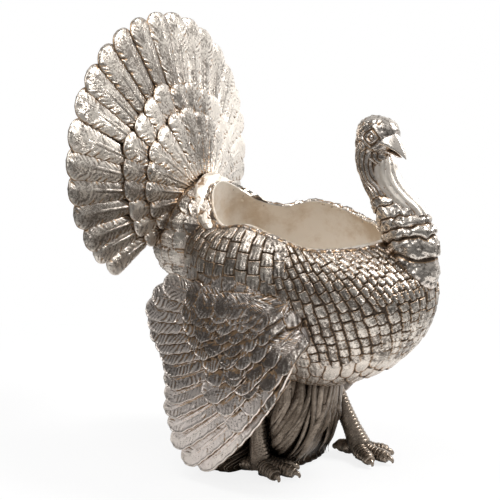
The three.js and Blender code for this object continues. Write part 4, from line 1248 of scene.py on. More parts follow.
def headRelief(p):
    # rings round the eyes and ears, wrinkles down the cheeks and small warts on the crown
    folded = np.where(p[:, 1:2] < 0, p * np.array([1, -1, 1]), p)
    fromEye = np.abs(folded - np.array(eye["middle"]))
    diamond = fromEye[:, 0] * 0.8 + fromEye[:, 2]
    eyeAway = np.hypot(blend(np.hypot(fromEye[:, 0], fromEye[:, 2]), diamond, 0.6), fromEye[:, 1])
    earAway = np.linalg.norm(folded - np.array(ear["middle"]), axis=1)
    atEye, atEar = 1 - smooth(eyeAway, *eye["reach"]), 1 - smooth(earAway, *ear["reach"])
    eyeRing = np.cos(eyeAway / eye["ringPitch"] * pi) * atEye
    earRing = np.cos(earAway / ear["ringPitch"] * pi) * atEar
    clear = (1 - atEye) * (1 - atEar)
    wart = pebbles(p, skullSkin["wartSize"], skullSkin["wartSeed"])
    crown = clear * smooth(p[:, 2], -2, 6) * (1 - smooth(p[:, 0], 12, 18))
    wrinkle = np.abs(np.sin(p[:, 0] * 0.55 + p[:, 2] * 0.18 + swells(p, [skullSkin["wrinkleBend"]])))
    cheek = clear * (1 - smooth(p[:, 2], -8, 0)) * (1 - smooth(p[:, 0], 8, 14))
    height = eyeRing + 0.8 * earRing + crown * skullSkin["wartDepth"] * (0.75 - wart)
    height = height + cheek * (skullSkin["wrinkleDepth"] * wrinkle ** 0.6 - 1.2)
    height = height + swells(p, skullSkin["swells"])
    groove = 0.8 * np.clip(-eyeRing, 0, 1) + 0.8 * np.clip(-earRing, 0, 1)
    groove = groove + 0.6 * crown * smooth(wart, 0.62, 0.85) + cheek * (1 - smooth(wrinkle, 0.1, 0.5))
    pit = np.exp(-(np.linalg.norm(folded - np.array(nostril["middle"]), axis=1) / nostril["radius"]) ** 2)
    return height - nostril["depth"] * pit, np.clip(groove + pit, 0, 1)


def makeHead():
    blobs = Shell()
    for middle, halves, paired in headBlobs:
        blobs.addLoft(ball(middle, halves))
        if paired:
            blobs.addLoft(ball(middle, halves, True))
    points, normals, quads, triangles = fuse(blobs, head["voxel"])
    height, groove = headRelief(points)
    points = points + normals * height[:, None]
    shell = Shell()
    tone = 0.5 + swells(points, [skullSkin["mottle"]])
    shell.add(headSpace(points), quads, triangles, tone=tone, groove=groove)
    makePiece("head_skull", shell, ["head"])


def beakRings(table, underside):
    keyed = [(i, *row) for i, row in enumerate(table)]
    t = np.linspace(0, len(table) - 1, beak["rings"])[:, None]
    angle = around(beak["sides"])[None, :]
    x, middle, high, wide = (curveThrough(keyed, t, k) for k in (1, 2, 3, 4))
    ridge = np.sin(angle)
    z = np.where(ridge > 0, ridge, ridge * underside)
    rings = np.stack([x + 0 * angle, wide * np.cos(angle) * (1 - 0.5 * ridge), middle + high * z], -1)
    return rings + swells(rings, [beak["grain"]])[..., None]


def makeBeak():
    shell = Shell()
    for table, underside in ((upperBeak, beak["upperUnderside"]), (lowerBeak, beak["lowerUnderside"])):
        shell.addLoft(headSpace(beakRings(table, underside)), tone=1.5, groove=-0.1)
    makePiece("head_beak", shell, ["head"])


def makeEyes():
    shell = Shell()
    angle = around(60)
    long, high = eye["lid"]
    for side in (1, -1):
        middle = np.array(eye["middle"]) * np.array([1, side, 1])
        aside = np.array([0, side, 0])
        shell.addLoft(headSpace(ball(middle - aside * eye["sunk"], (eye["radius"],) * 3)), tone=0.9)
        lid = np.stack([long * np.cos(angle), 0 * angle, high * np.sin(angle)], -1)
        addHoop(shell, headSpace(middle + lid - aside * eye["lidProud"]), eye["lidRadius"])
    makePiece("head_eyes", shell, ["head"])


def addHoop(shell, path, radius):
    # a closed hoop along a closed path
    along = unit(np.roll(path, -1, 0) - np.roll(path, 1, 0))
    out = unit(path - path.mean(0))
    up = np.cross(along, out)
    angle = around(14)[None, :]
    section = out[:, None] * np.cos(angle)[..., None] + up[:, None] * np.sin(angle)[..., None]
    shell.addLoop(path[:, None] + radius * section, tone=0.8, groove=0.1)


makeNeck()
makeDewlap()
makeHead()
makeBeak()
makeEyes()
print("neck and head made")


# Legs

leg = dict(
    ankleHeight=22, shankRadius=8.8, topHeight=92, felt=1.5,
    # heights up the shank, and its radius there as a share
    heights=(6, 14, 22, 34, 50, 70, 92), radiusShares=(1.15, 1.3, 1.18, 1.0, 0.95, 1.0, 1.2),
    steps=120, sides=40,
    scute=4.0, scuteDepth=1.5, beads=9, beadPitch=2.2,
)
toe = dict(
    reach=44, radius=7.4, steps=80, sides=28, knuckles=2.2, knuckleSwell=0.07, sunk=0.35,
    # share of the reach, height of the middle and radius, both as shares of the radius
    shares=[(-0.06, 1.9, 1.05), (0.15, 1.45, 1.08), (0.4, 1.0, 1.0), (0.62, 0.95, 0.98),
            (0.82, 0.82, 0.88), (0.9, 0.7, 0.66)],
)
claw = dict(radius=3.6, steps=30, sides=18, start=6, clearance=1.4,
            rise=0.6, past=3, bendShare=0.9, bendPast=6, bendHeight=3.2, tipPast=1.0, tipHeight=1.2)
cuff = dict(
    height=96, halves=(21, 17, 25), inner=0.86, root=0.92, turn=0.2,
    rings=((0.35, 15, 22), (0.0, 17, 24), (-0.3, 15, 22)),  # height as a share, count, length
    lengths=(0.8, 1.15), halfWidths=(3.2, 4.6), swells=[(1.2, 7, 111)],
    tuck=3.5, tuckAbove=0.3, lowTuck=8,
)
feet = dict(right=dict(ahead=-17, aside=-46, topBehind=4), left=dict(ahead=43, aside=48, topBehind=38))
toes = [(27, 0.82), (-5, 1.0), (-36, 0.86), (174, 0.55)]  # turn in degrees, share of the reach
cuffLook = dict(plainFeather, rows=30, columns=13, outline=[(0, 0.6), (0.4, 1), (0.8, 0.8), (1, 0.5)],
                tipLength=2.4, tipPower=1.7, thickness=2.4, shaft=0.5, shaftEnd=0.95, roof=0.6, rim=0.2,
                ragged=0.05, nickDepth=0.9)


def shankPoint(foot, height):
    share = (height - leg["ankleHeight"]) / (leg["topHeight"] - leg["ankleHeight"])
    return np.array([foot["ahead"] - foot["topBehind"] * share, foot["aside"], height])


def scutes(distance, angle):
    # overlapping plates across the front and top, small beads elsewhere
    part = (distance / leg["scute"]) % 1.0
    plates = (0.35 + 0.65 * part) * (1 - part ** 9)
    front = smooth(np.sin(angle), -0.7, -0.1)
    bead = 0.5 + 0.5 * np.sin(distance * leg["beadPitch"]) * np.sin(angle * leg["beads"])
    height = leg["scuteDepth"] * (plates * front + 0.5 * bead * (1 - front)) - 0.3
    groove = (smooth(part, 0.82, 1.0) + 1 - smooth(part, 0.0, 0.1)) * front * 0.9
    return height, np.clip(groove + 0.3 * (1 - front), 0, 1)


def makeToe(shell, foot, outward, turn, share):
    bearing = math.radians(turn)
    ahead = np.array([math.cos(bearing), outward * math.sin(bearing), 0])
    base = np.array([foot["ahead"], foot["aside"], leg["felt"]])
    reach, count = toe["reach"] * share, toe["steps"]
    path = [base + ahead * reach * s + upward * toe["radius"] * high for s, high, _ in toe["shares"]]
    path = resample(path, count)
    t = np.linspace(0, 1, count)
    thick = [radius for *_, radius in toe["shares"]]
    radii = toe["radius"] * np.interp(t, np.linspace(0, 1, len(thick)), thick)
    radii = radii * (1 + toe["knuckleSwell"] * np.cos(t * fullTurn * toe["knuckles"]))
    radii = np.minimum(radii, path[:, 2] - leg["felt"] + toe["sunk"])
    tube(shell, path, radii, toe["sides"], relief=scutes, tone=0.4)
    makeClaw(shell, path, base, ahead, reach)


def makeClaw(shell, path, base, ahead, reach):
    bend = base + ahead * (reach * claw["bendShare"] + claw["bendPast"]) + upward * claw["bendHeight"]
    tip = base + ahead * (reach + claw["tipPast"]) + upward * claw["tipHeight"]
    line = [path[-claw["start"]], path[-1] + ahead * claw["past"] + upward * claw["rise"], bend, tip]
    line = resample(line, claw["steps"])
    radii = claw["radius"] * np.sqrt(np.linspace(1, 0.01, claw["steps"]))
    radii = np.minimum(radii, line[:, 2] - leg["felt"] + claw["clearance"])
    tube(shell, line, radii, claw["sides"], tone=1.0)


def makeCuff(shell, foot, rng):
    # the feathered top of the leg: a plain core under three rings of hanging feathers
    middle = shankPoint(foot, cuff["height"])
    halves = np.array(cuff["halves"])
    form = ball(middle, halves * cuff["inner"])
    uneven = swells(form, cuff["swells"])[..., None] * unit(form - middle)
    shell.addLoft(form + uneven, tone=0.4, groove=0.5)
    for ring, (low, count, long) in enumerate(cuff["rings"]):
        high = math.sqrt(1 - low * low)
        tuck = cuff["tuck"] * (1 if low <= 0 else cuff["tuckAbove"])
        for n in range(count):
            turn = rng.uniform(-cuff["turn"], cuff["turn"])
            bearing = (n + 0.5 * ring + turn) / count * fullTurn
            side = np.array([-math.sin(bearing), math.cos(bearing), 0])
            out = np.array([math.cos(bearing), math.sin(bearing), 0])
            root = middle + halves * (out * high + upward * low) * cuff["root"]
            length = long * rng.uniform(*cuff["lengths"])

            def lay(along, across, height):
                inward = -tuck * np.sin(along * pi * 0.5) - cuff["lowTuck"] * along ** 2 * (low < 0)
                return (root + side * across[..., None] + out * (height + inward)[..., None]
                        - upward * (along * length)[..., None])

            cutFeather(shell, lay, length, rng.uniform(*cuff["halfWidths"]), cuffLook, rng)


def makeLeg(word):
    foot = feet[word]
    outward = math.copysign(1, foot["aside"])
    rng = np.random.default_rng(112 if outward > 0 else 113)
    shell = Shell()
    path = resample([shankPoint(foot, height) for height in leg["heights"]], leg["steps"])
    radii = leg["shankRadius"] * np.interp(path[:, 2], leg["heights"], leg["radiusShares"])
    tube(shell, path, radii, leg["sides"], upright=(0, 1, 0), relief=scutes, tone=0.35)
    for turn, share in toes:
        makeToe(shell, foot, outward, turn, share)
    makeCuff(shell, foot, rng)
    makePiece(f"leg_{word}", shell, [f"{word}_leg"])


makeLeg("right")
makeLeg("left")
print("legs made")


# Grass base

base = dict(
    footAhead=-42, footHalfLength=56, footHalfWidth=72, footSkew=0.22,
    topAhead=-3, topHalfLength=46, topHalfWidth=49, topHeight=122, bottom=1.8,
    reach=0.87,  # the strands end inside the belly's wall
    nicheDepth=34, nicheShallow=14, nicheHalfWidth=17,
    rows=60, columns=160, coreInside=-3.0,  # the plain core under the strands
    ribs=34, ribHeight=0.9, ribBend=(3, 30, 121),
)
baseShares = [(0, 0.06), (0.05, 0), (0.2, 0.38), (0.42, 0.72), (0.7, 0.94), (1, 1)]


def basePoint(angle, high, out=0.0):
    # a point of the mound: bearing, share of the height, and distance outwards
    merge = curveThrough(baseShares, high, 1)
    along = blend(base["footHalfLength"], base["topHalfLength"], merge) + out
    across = blend(base["footHalfWidth"], base["topHalfWidth"], merge) + out
    middle = blend(base["footAhead"], base["topAhead"], merge)
    skew = base["footSkew"] * (1 - merge) * across * np.sin(angle)
    high = np.minimum(high, base["reach"])
    z = base["bottom"] + high * (base["topHeight"] - base["bottom"])
    x, y = middle + skew + along * np.cos(angle), across * np.sin(angle)
    # a hollow that leaves the near leg free
    hollow = np.exp(-((x - feet["right"]["ahead"]) / base["nicheHalfWidth"]) ** 4) * (y < 0)
    y = y + hollow * blend(base["nicheDepth"], base["nicheShallow"], np.clip(high * 2, 0, 1))
    return np.stack(np.broadcast_arrays(x, y, z), -1)


# Strands: layers of (count, distance off the mound), then ranges of where a strand starts and ends
blade = dict(
    layers=((44, -2.6), (40, -1.0), (22, 0.6)),
    starts=(0.75, 1.0), topStarts=(0.35, 0.95), ends=(0.0, 0.05), highEnds=(0.1, 0.35), lowShare=0.75,
    widths=(7.5, 12.5), offsets=(-0.6, 0.8), drifts=(-0.35, 0.1), jitter=0.3, twist=0.5,
    steps=46, sides=14, bow=2.2, ridge=0.55, underside=0.18, barbStretch=2.2,
    middle=(-20, 0, 60),
)


def turnedOut(face, path):
    # the same directions, turned away from the middle of the mound
    away = np.einsum("ij,ij->i", face, path - np.array(blade["middle"]))
    return face * np.sign(away)[:, None]


def makeBlade(shell, angle, start, end, width, out, drift, rng):
    # one strand of grass from under the belly down to the ground
    t = np.linspace(0, 1, blade["steps"])
    high = np.clip(start + (end - start) * t, 0, 1)
    bearing = angle + drift * t ** 1.6 + 0.06 * np.sin(t * rng.uniform(4, 7) + rng.uniform(0, 6))
    path = basePoint(bearing, high, out + blade["bow"] * np.sin(t * pi * 0.9))
    side = unit(basePoint(bearing + 0.01, high, out) - basePoint(bearing, high, out))
    along = unit(np.gradient(path, axis=0))
    face = turnedOut(unit(np.cross(side, along)), path)
    most = blade["twist"]
    twist = rng.uniform(-most, most) + rng.uniform(-most, most) * t
    across = side * np.cos(twist)[:, None] + face * np.sin(twist)[:, None]
    face = turnedOut(unit(np.cross(along, across)), path)
    half = width / 2 * np.sqrt(np.clip(np.sin(pi * np.clip(0.18 + t * 0.8, 0, 1)), 0.02, 1))
    half = half * (1 - smooth(t, 0.8, 1) * 0.75)
    section = around(blade["sides"])
    ridge = np.where(np.sin(section) > 0, blade["ridge"], blade["underside"]) * np.sin(section)
    aside = half[:, None] * np.cos(section)
    rings = (path[:, None] + across[:, None] * aside[..., None]
             + face[:, None] * (half[:, None] * ridge)[..., None])
    rings[..., 2] = np.maximum(rings[..., 2], base["bottom"] - 0.2)
    groove = np.broadcast_to(0.5 * smooth(np.abs(np.cos(section)), 0.8, 1), rings.shape[:2])
    shell.addLoft(rings, tone=rng.random(), barb=aside * blade["barbStretch"], groove=groove)


def makeGrass():
    shell = Shell()
    angle = around(base["columns"])[None, :]
    form = basePoint(angle, np.linspace(0, 1, base["rows"])[:, None], base["coreInside"])
    ribs = base["ribHeight"] * np.sin(angle * base["ribs"] + swells(form, [base["ribBend"]]))
    shell.addLoft(form + ribs[..., None] * unit(form * np.array([1, 1, 0])), tone=0.1, groove=0.8)
    rng = np.random.default_rng(122)
    for layer, (count, out) in enumerate(blade["layers"]):
        top = layer == len(blade["layers"]) - 1
        for n in range(count):
            angle = (n + rng.uniform(-blade["jitter"], blade["jitter"])) / count * fullTurn
            drift = rng.uniform(*blade["drifts"]) * (1 if math.sin(angle) < 0 else -1)
            start = rng.uniform(*blade["topStarts" if top else "starts"])
            end = rng.uniform(*blade["ends" if rng.random() < blade["lowShare"] else "highEnds"])
            width = rng.uniform(*blade["widths"])
            makeBlade(shell, angle, start, end, width, out + rng.uniform(*blade["offsets"]), drift, rng)
    makePiece("grass_blades", shell, ["grass_base"])


makeGrass()
print("grass made")


# Materials

class Wire:
    # a number or colour socket; sums on it add Math nodes
    def __init__(self, paint, socket):
        self.paint, self.socket = paint, socket

    def math(self, operation, *values, clamp=False):
        return self.paint.node("ShaderNodeMath", dict(operation=operation, use_clamp=clamp), values)

    def __add__(self, other):
        return self.math("ADD", self, other)

    def __sub__(self, other):
        return self.math("SUBTRACT", self, other)

    def __rsub__(self, other):
        return self.math("SUBTRACT", other, self)

    def __mul__(self, other):
        return self.math("MULTIPLY", self, other)

    __radd__, __rmul__ = __add__, __mul__

    def sine(self):
        return self.math("SINE", self)

    def clamped(self):
        return self.math("ADD", self, 0.0, clamp=True)

    def step(self, low, high, least=0.0, most=1.0):
        # a smooth step from one level to another
        values = {"Value": self, "From Min": low, "From Max": high, "To Min": least, "To Max": most}
        return self.paint.node("ShaderNodeMapRange", dict(interpolation_type="SMOOTHSTEP"), values)


class Paint:
    # the nodes of one material or world
    def __init__(self, owner):
        owner.use_nodes = True
        self.owner = owner
        self.nodes, self.links = owner.node_tree.nodes, owner.node_tree.links
        self.nodes.clear()

    def node(self, kind, settings, values, output=0):
        made = self.nodes.new(kind)
        for name, value in settings.items():
            setattr(made, name, value)
        named = values.items() if isinstance(values, dict) else enumerate(values)
        for name, value in named:
            if isinstance(value, Wire):
                self.links.new(value.socket, made.inputs[name])
            else:
                made.inputs[name].default_value = value
        return Wire(self, made.outputs[output])

    def field(self, name):
        return self.node("ShaderNodeAttribute", dict(attribute_name=name), {}, "Fac")

    def spot(self):
        return self.node("ShaderNodeTexCoord", {}, {}, "Object")

    def ray(self, kind):
        return self.node("ShaderNodeLightPath", {}, {}, f"Is {kind} Ray")

    def noise(self, spot, size, detail=3.0, roughness=0.55, distortion=0.0):
        values = {"Vector": spot, "Scale": 1 / (size * mm), "Detail": detail,
                  "Roughness": roughness, "Distortion": distortion}
        return self.node("ShaderNodeTexNoise", {}, values, "Fac")

    def mix(self, a, b, factor):
        # colours; the Mix node's sockets share their names, so they go by number
        return self.node("ShaderNodeMix", dict(data_type="RGBA"), {0: factor, 6: a, 7: b}, 2)

    def bump(self, height, distance):
        # height in shares of a distance in millimetres
        return self.node("ShaderNodeBump", {}, {"Height": height, "Distance": distance * mm}, "Normal")

    def show(self, shader, output="ShaderNodeOutputMaterial"):
        self.links.new(shader.socket, self.nodes.new(output).inputs["Surface"])

    def finish(self, values):
        self.show(self.node("ShaderNodeBsdfPrincipled", {}, values))
        return self.owner


def colour(r, g, b):
    return (r, g, b, 1)


# One silver leaf, with a silver for each part set lighter or darker as painted light and shade
leaf = dict(
    bodySilver=colour(0.63, 0.55, 0.48), tailSilver=colour(0.9, 0.825, 0.74),
    wingSilver=colour(0.78, 0.70, 0.65), neckSilver=colour(0.84, 0.76, 0.69),
    skinSilver=colour(0.88, 0.82, 0.76), collarSilver=colour(0.88, 0.81, 0.73),
    paintedHighlight=colour(0.78, 0.72, 0.64),
    grey=colour(0.105, 0.084, 0.068),
    gold=colour(0.42, 0.27, 0.15),
    brown=colour(0.05, 0.032, 0.02),
    cloudSize=24, patchSize=7, speckSize=2.3,
    shadeFrom=(0.1, 0.9), leastShade=0.35,
    paintedHighlightFrom=(0.25, 0.75), paintedHighlightStrength=0.75,
    fleckFrom=(0.74, 0.81), fleckStrength=0.76, fleckFade=0.32,
    goldFrom=(0.08, 0.3), goldStrength=0.85, brownFrom=(0.34, 0.66), brownStrength=0.97,
    wornMetal=0.3, smoothest=0.23, roughest=0.42,
    barbPitch=2.2, barbDepth=0.11, grainDepth=0.1, creaseDepth=0.4, bumpHeight=0.7,
)


def silverLeaf(name, silver, light=0.0, barbs=1.0, warm=0.0, matt=0.0):
    # worn silver leaf over a brown ground, flecked with grey: lighter on the open crowns as a painted
    # highlight, gold and brown in the grooves as patina, with painted shade where enclosed
    paint = Paint(bpy.data.materials.new(name))
    spot = paint.spot()
    grime, tone, barb = paint.field("grime"), paint.field("tone"), paint.field("barb")
    cloud = paint.noise(spot, leaf["cloudSize"], 2.0)
    patch = paint.noise(spot, leaf["patchSize"], 3.0, 0.6, 0.5)
    speck = paint.noise(spot, leaf["speckSize"], 4.0, 0.75)
    shade = (cloud * 0.6 + patch * 0.5 + tone * 0.45 + light - 0.3).step(*leaf["shadeFrom"])
    base = paint.mix(leaf["grey"], silver, shade * (1 - leaf["leastShade"]) + leaf["leastShade"])
    # painted highlight: lighter leaf where the surface is open
    paintedHighlight = (speck * 0.4 - grime).step(*leaf["paintedHighlightFrom"])
    base = paint.mix(base, leaf["paintedHighlight"], paintedHighlight * leaf["paintedHighlightStrength"])
    middle = tone.step(-0.8, 2.6, 0.0, leaf["fleckFade"])
    flecks = (speck + patch * 0.4 + cloud * 0.3 - middle - light * 0.3).step(*leaf["fleckFrom"])
    base = paint.mix(base, leaf["grey"], flecks * leaf["fleckStrength"])
    # gold and brown: patina in the grooves, and painted shade where the surface is enclosed
    edge = grime + speck * 0.4 + patch * 0.25 + warm - 0.3
    base = paint.mix(base, leaf["gold"], edge.step(*leaf["goldFrom"]) * leaf["goldStrength"])
    base = paint.mix(base, leaf["brown"], edge.step(*leaf["brownFrom"]) * leaf["brownStrength"])
    wave = (barb * (fullTurn / leaf["barbPitch"]) + patch * 5.0).sine()
    relief = wave * patch.step(0.3, 0.7) * (barbs * leaf["barbDepth"])
    relief = relief + speck * leaf["grainDepth"] + patch * leaf["creaseDepth"]
    rough = speck.step(0.3, 0.8, leaf["smoothest"] + matt, leaf["roughest"] + matt)
    return paint.finish({
        "Base Color": base,
        "Metallic": edge.step(0.3, 0.8, 1.0, leaf["wornMetal"]),
        "Roughness": (rough + grime.clamped() * 0.3).clamped(),
        "Normal": paint.bump(relief, leaf["bumpHeight"]),
    })


lining = dict(
    pale=colour(0.80, 0.74, 0.66), deep=colour(0.61, 0.50, 0.38),
    cloudSize=38, brushSize=4, deepFrom=(0.72, 1.15),
    metal=0.2, smoothest=0.42, roughest=0.6,
)


def champagneLining():
    # a smooth pale coat, yellowed in soft patches, and darker where enclosed as painted shade
    paint = Paint(bpy.data.materials.new("champagne_lining"))
    spot = paint.spot()
    cloud = paint.noise(spot, lining["cloudSize"], 3.0)
    brush = paint.noise(spot, lining["brushSize"], 4.0, 0.6, 1.0)
    yellowedAndShaded = (cloud * 1.6 + brush * 0.3 + paint.field("grime") * 0.3).step(*lining["deepFrom"])
    return paint.finish({
        "Base Color": paint.mix(lining["pale"], lining["deep"], yellowedAndShaded),
        "Metallic": lining["metal"],
        "Roughness": brush.step(0.2, 0.8, lining["smoothest"], lining["roughest"]),
        "Normal": paint.bump(brush * 0.6, 0.3),
    })


dark = dict(
    silver=colour(0.34, 0.28, 0.225),
    grey=colour(0.09, 0.068, 0.05),
    brown=colour(0.034, 0.022, 0.014),
    patchSize=7, speckSize=1.4, brightFrom=(0.15, 0.9), brownFrom=(0.15, 0.75), brownStrength=0.95,
    stripePitch=2.4, bumpHeight=0.5,
    metal=0.85, smoothest=0.22, roughest=0.42,
)


def darkLeaf(name, light=0.0, stripes=0.2):
    # the same leaf, worn dark: darker and brown where enclosed as painted shade, brown with patina in the
    # grooves
    paint = Paint(bpy.data.materials.new(name))
    spot = paint.spot()
    grime, tone, barb = paint.field("grime"), paint.field("tone"), paint.field("barb")
    patch = paint.noise(spot, dark["patchSize"], 4.0, 0.6, 0.5)
    speck = paint.noise(spot, dark["speckSize"], 3.0, 0.7)
    # painted shade: darker where the surface is enclosed, lighter where it is open
    bright = patch * 0.6 + speck * 0.6 + tone * 0.3 - grime * 0.7 + light - 0.4
    base = paint.mix(dark["grey"], dark["silver"], bright.step(*dark["brightFrom"]))
    # brown: patina in the grooves and painted shade where enclosed
    browning = (grime * 1.1 + speck * 0.3 - 0.1).step(*dark["brownFrom"])
    base = paint.mix(base, dark["brown"], browning * dark["brownStrength"])
    wave = (barb * (fullTurn / dark["stripePitch"]) + patch * 3.0).sine()
    return paint.finish({
        "Base Color": base,
        "Metallic": dark["metal"],
        "Roughness": speck.step(0.2, 0.8, dark["smoothest"], dark["roughest"]),
        "Normal": paint.bump(wave * stripes + speck * 0.3, dark["bumpHeight"]),
    })


steel = dict(
    dark=colour(0.42, 0.43, 0.45), light=colour(0.58, 0.58, 0.58), metal=1.0,
    grain=(0.8, 3.0, 0.55), dull=(0.2, 0.8, 0.25, 0.4), bumpHeight=0.05,
)
felt = dict(
    dark=colour(0.02, 0.018, 0.017), light=colour(0.06, 0.055, 0.05), metal=0.0,
    grain=(0.7, 5.0, 0.7), dull=(0.0, 1.0, 0.85, 1.0), bumpHeight=0.4,
)


def grained(name, look):
    # two colours mixed by a fine grain, for the bare steel and the felt
    paint = Paint(bpy.data.materials.new(name))
    grain = paint.noise(paint.spot(), *look["grain"])
    return paint.finish({
        "Base Color": paint.mix(look["dark"], look["light"], grain),
        "Metallic": look["metal"],
        "Roughness": grain.step(*look["dull"]),
        "Normal": paint.bump(grain, look["bumpHeight"]),
    })


# Painted shade and patina: how enclosed each point is, from a blurred map of all the surfaces. Enclosed
# points get painted shade, grooves their patina, and open surfaces a painted highlight.

shadeAndPatinaMap = dict(
    voxel=1.5, blur=2, margin=20, standOff=2.4,  # the blur counts cells, the rest millimetres
    flat=0.3, full=0.56, bare=0.08,  # how filled the space beside a surface is
    # weights of the painted shade where enclosed, the patina in grooves and the painted highlight on open
    # surfaces, then the range of the sum
    enclosed=0.75, groove=0.85, exposed=0.5, least=-0.6, most=1.2,
)


def surfaceMap():
    # how filled each cell of space is with surface, blurred along all three axes
    clouds = [vectorsOf(piece.data.vertices, "co") for piece in pieces]
    margin = shadeAndPatinaMap["margin"] * mm
    low = np.min([c.min(0) for c in clouds], axis=0) - margin
    high = np.max([c.max(0) for c in clouds], axis=0) + margin
    size = shadeAndPatinaMap["voxel"] * mm
    filled = np.zeros(np.ceil((high - low) / size).astype(int), np.float32)
    for cloud in clouds:
        cell = ((cloud - low) / size).astype(int)
        filled[cell[:, 0], cell[:, 1], cell[:, 2]] = 1
    radius = shadeAndPatinaMap["blur"]
    for axis in (0, 1, 2):
        for _ in range(2):
            total = np.cumsum(filled, axis=axis, dtype=np.float32)
            ahead = np.roll(total, -radius, axis)
            behind = np.roll(total, radius + 1, axis)
            filled = (ahead - behind) / (2 * radius + 1)
            edge = [slice(None)] * 3
            for cut in (slice(0, radius + 1), slice(-radius - 1, None)):
                edge[axis] = cut
                filled[tuple(edge)] = 0
    return filled, low, size


def addShadeAndPatina():
    density, low, size = surfaceMap()
    for piece in pieces:
        mesh = piece.data
        points, normals = vectorsOf(mesh.vertices, "co"), vectorsOf(mesh.vertex_normals, "vector")
        groove = np.zeros(len(points), np.float32)
        mesh.attributes["groove"].data.foreach_get("value", groove)
        out = points + normals * shadeAndPatinaMap["standOff"] * mm
        cell = np.clip(((out - low) / size).astype(int), 0, np.array(density.shape) - 1)
        near = density[cell[:, 0], cell[:, 1], cell[:, 2]]
        enclosed = smooth(near, shadeAndPatinaMap["flat"], shadeAndPatinaMap["full"])
        exposed = 1 - smooth(near, shadeAndPatinaMap["bare"], shadeAndPatinaMap["flat"])
        layer = mesh.attributes.new("grime", "FLOAT", "POINT")
        # painted shade where a point is enclosed, patina in its grooves, and below zero a painted highlight
        # where it is open
        value = enclosed * shadeAndPatinaMap["enclosed"] + groove * shadeAndPatinaMap["groove"]
        value = value - exposed * shadeAndPatinaMap["exposed"] * np.clip(1 - groove, 0, 1) ** 2
        value = np.clip(value, shadeAndPatinaMap["least"], shadeAndPatinaMap["most"])
        layer.data.foreach_set("value", value.astype(np.float32))


addShadeAndPatina()
print("grime worked out")

# each part's copy of the silver leaf or the dark leaf is made lighter or darker by its silver and light, as
# painted light and shade
materials = dict(
    plumage=silverLeaf("plumage_leaf", leaf["bodySilver"], barbs=1.8, warm=0.08),
    tail=silverLeaf("tail_leaf", leaf["tailSilver"], light=0.2, barbs=1.4, matt=0.06),
    wing=silverLeaf("wing_leaf", leaf["wingSilver"], barbs=1.8, matt=0.06),
    neck=silverLeaf("neck_leaf", leaf["neckSilver"], light=0.05, barbs=0.0),
    dewlap=silverLeaf("dewlap_leaf", leaf["skinSilver"], light=0.12, barbs=0.0, matt=0.26),
    lining=champagneLining(),
    collar=silverLeaf("collar_leaf", leaf["collarSilver"], light=0.5, barbs=0.0, matt=0.3),
    leg=darkLeaf("leg_leaf", light=0.3),
    grass=darkLeaf("grass_leaf", light=-0.08, stripes=0.05),
    steel=grained("bare_steel", steel),
    felt=grained("base_felt", felt),
)
# The start of a piece's name, its material and its slot; the first one that fits counts
finishes = [
    ("bowl_lining", "lining", "silver_leaf"), ("body_", "plumage", "silver_leaf"),
    ("tail_collar", "collar", "silver_leaf"), ("tail_rump", "plumage", "silver_leaf"),
    ("tail_", "tail", "silver_leaf"), ("wing_", "wing", "silver_leaf"),
    ("neck_dewlap", "dewlap", "silver_leaf"), ("neck_", "neck", "silver_leaf"),
    ("head_", "neck", "silver_leaf"), ("leg_", "leg", "dark_leaf"), ("grass_", "grass", "dark_leaf"),
]


def coat(thing, material):
    thing.data.materials.clear()
    thing.data.materials.append(materials[material])


for piece in pieces:
    material, slotName = next(row[1:] for row in finishes if piece.name.startswith(row[0]))
    coat(piece, material)
for name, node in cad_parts.items():
    if any(word in name for word in ("dowel", "rod", "stud")):
        coat(node, "steel")
    elif "felt" in name:
        coat(node, "felt")
print("materials made")


# Studio

studio = dict(
    floorColour=colour(0.96, 0.96, 0.96), floorShade=colour(0.92, 0.92, 0.92), floorPatch=300,
    floorSize=12, floorWhite=0.84, shadowReach=0.32, whiteFrom=0.62,
    ambient=0.48, roomGrey=0.19, skyLevel=0.34,
    white=colour(1, 1, 1),
)
# Lamps in metres and watts: name, place, where each points, size and power
lamps = [
    ("key", (1.0, 0.65, 1.5), (0, 0, 0.25), 0.6, 25),
    ("top", (-0.3, -0.5, 1.7), (0, 0, 0.2), 0.7, 10),
    ("fill", (-0.3, -1.9, 1.9), (0, 0, 0.25), 0.5, 9),
    ("back", (-0.2, 1.8, 0.5), (0, 0, 0.25), 0.8, 1.5),
]


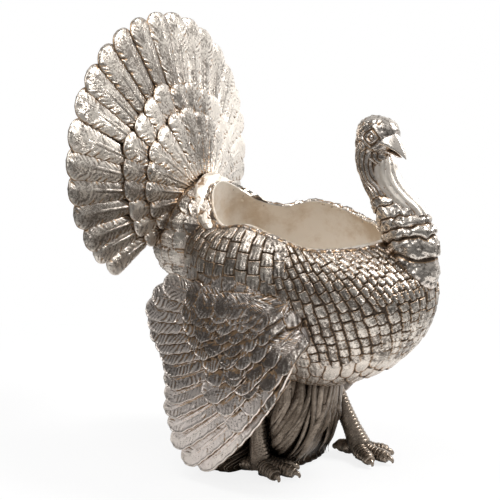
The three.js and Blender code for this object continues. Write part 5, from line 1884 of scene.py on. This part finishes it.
def makeFloor():
    # a floor that keeps the shadow near the figure and turns to plain white further out
    mesh = bpy.data.meshes.new("floor")
    s = studio["floorSize"] / 2
    mesh.from_pydata([(-s, -s, 0), (s, -s, 0), (s, s, 0), (-s, s, 0)], [], [(0, 1, 2, 3)])
    addObject("floor", mesh)
    paint = Paint(bpy.data.materials.new("studio_floor"))
    spot = paint.spot()
    patch = paint.noise(spot, studio["floorPatch"], 2.0)
    shade = paint.mix(studio["floorShade"], studio["floorColour"], patch)
    away = paint.node("ShaderNodeVectorMath", dict(operation="LENGTH"), [spot], "Value")
    seen, glossy = paint.ray("Camera") + paint.ray("Transmission"), paint.ray("Glossy")
    behind = paint.node("ShaderNodeSeparateXYZ", {}, [spot], "Y").step(-0.1, 1.2, studio["roomGrey"], 1.0)
    plain = paint.node("ShaderNodeBsdfDiffuse", {}, {"Color": shade})
    glow = {"Color": studio["white"], "Strength": seen + glossy * behind}
    far = away.step(studio["shadowReach"], studio["whiteFrom"])
    factor = seen * (far * (1 - studio["floorWhite"]) + studio["floorWhite"]) + glossy * far
    white = paint.node("ShaderNodeEmission", {}, glow)
    paint.show(paint.node("ShaderNodeMixShader", {}, [factor, plain, white]))
    mesh.materials.append(paint.owner)


def areaLamp(name, spot, target, size, power):
    data = bpy.data.lights.new(name, "AREA")
    data.shape = "RECTANGLE"
    data.size = size
    data.size_y = size * 0.8
    data.energy = power
    lamp = addObject(name, data)
    pointAt(lamp, spot, target)
    lamp.visible_camera = False


def makeWorld():
    # white behind the figure, for the camera and in the metal, and a greyer room on the camera's side
    world = bpy.data.worlds.new("studio")
    bpy.context.scene.world = world
    paint = Paint(world)
    seen = (paint.ray("Camera") + paint.ray("Transmission")).clamped()
    glossy = paint.ray("Glossy")
    way = paint.node("ShaderNodeTexCoord", {}, {}, "Generated")
    up = paint.node("ShaderNodeSeparateXYZ", {}, [way], "Z").step(0.05, 0.8) * studio["skyLevel"]
    behind = paint.node("ShaderNodeSeparateXYZ", {}, [way], "Y").step(0.25, 0.9)
    room = 1 - (1 - up) * (1 - behind) * (1 - studio["roomGrey"])
    level = (1 - glossy) * studio["ambient"] + glossy * room
    level = level * (1 - seen) + seen
    light = paint.node("ShaderNodeBackground", {}, {"Color": studio["white"], "Strength": level})
    paint.show(light, "ShaderNodeOutputWorld")


makeFloor()
makeWorld()
for lamp in lamps:
    areaLamp(*lamp)
bpy.context.scene.view_settings.view_transform = "Standard"
print("studio lit")
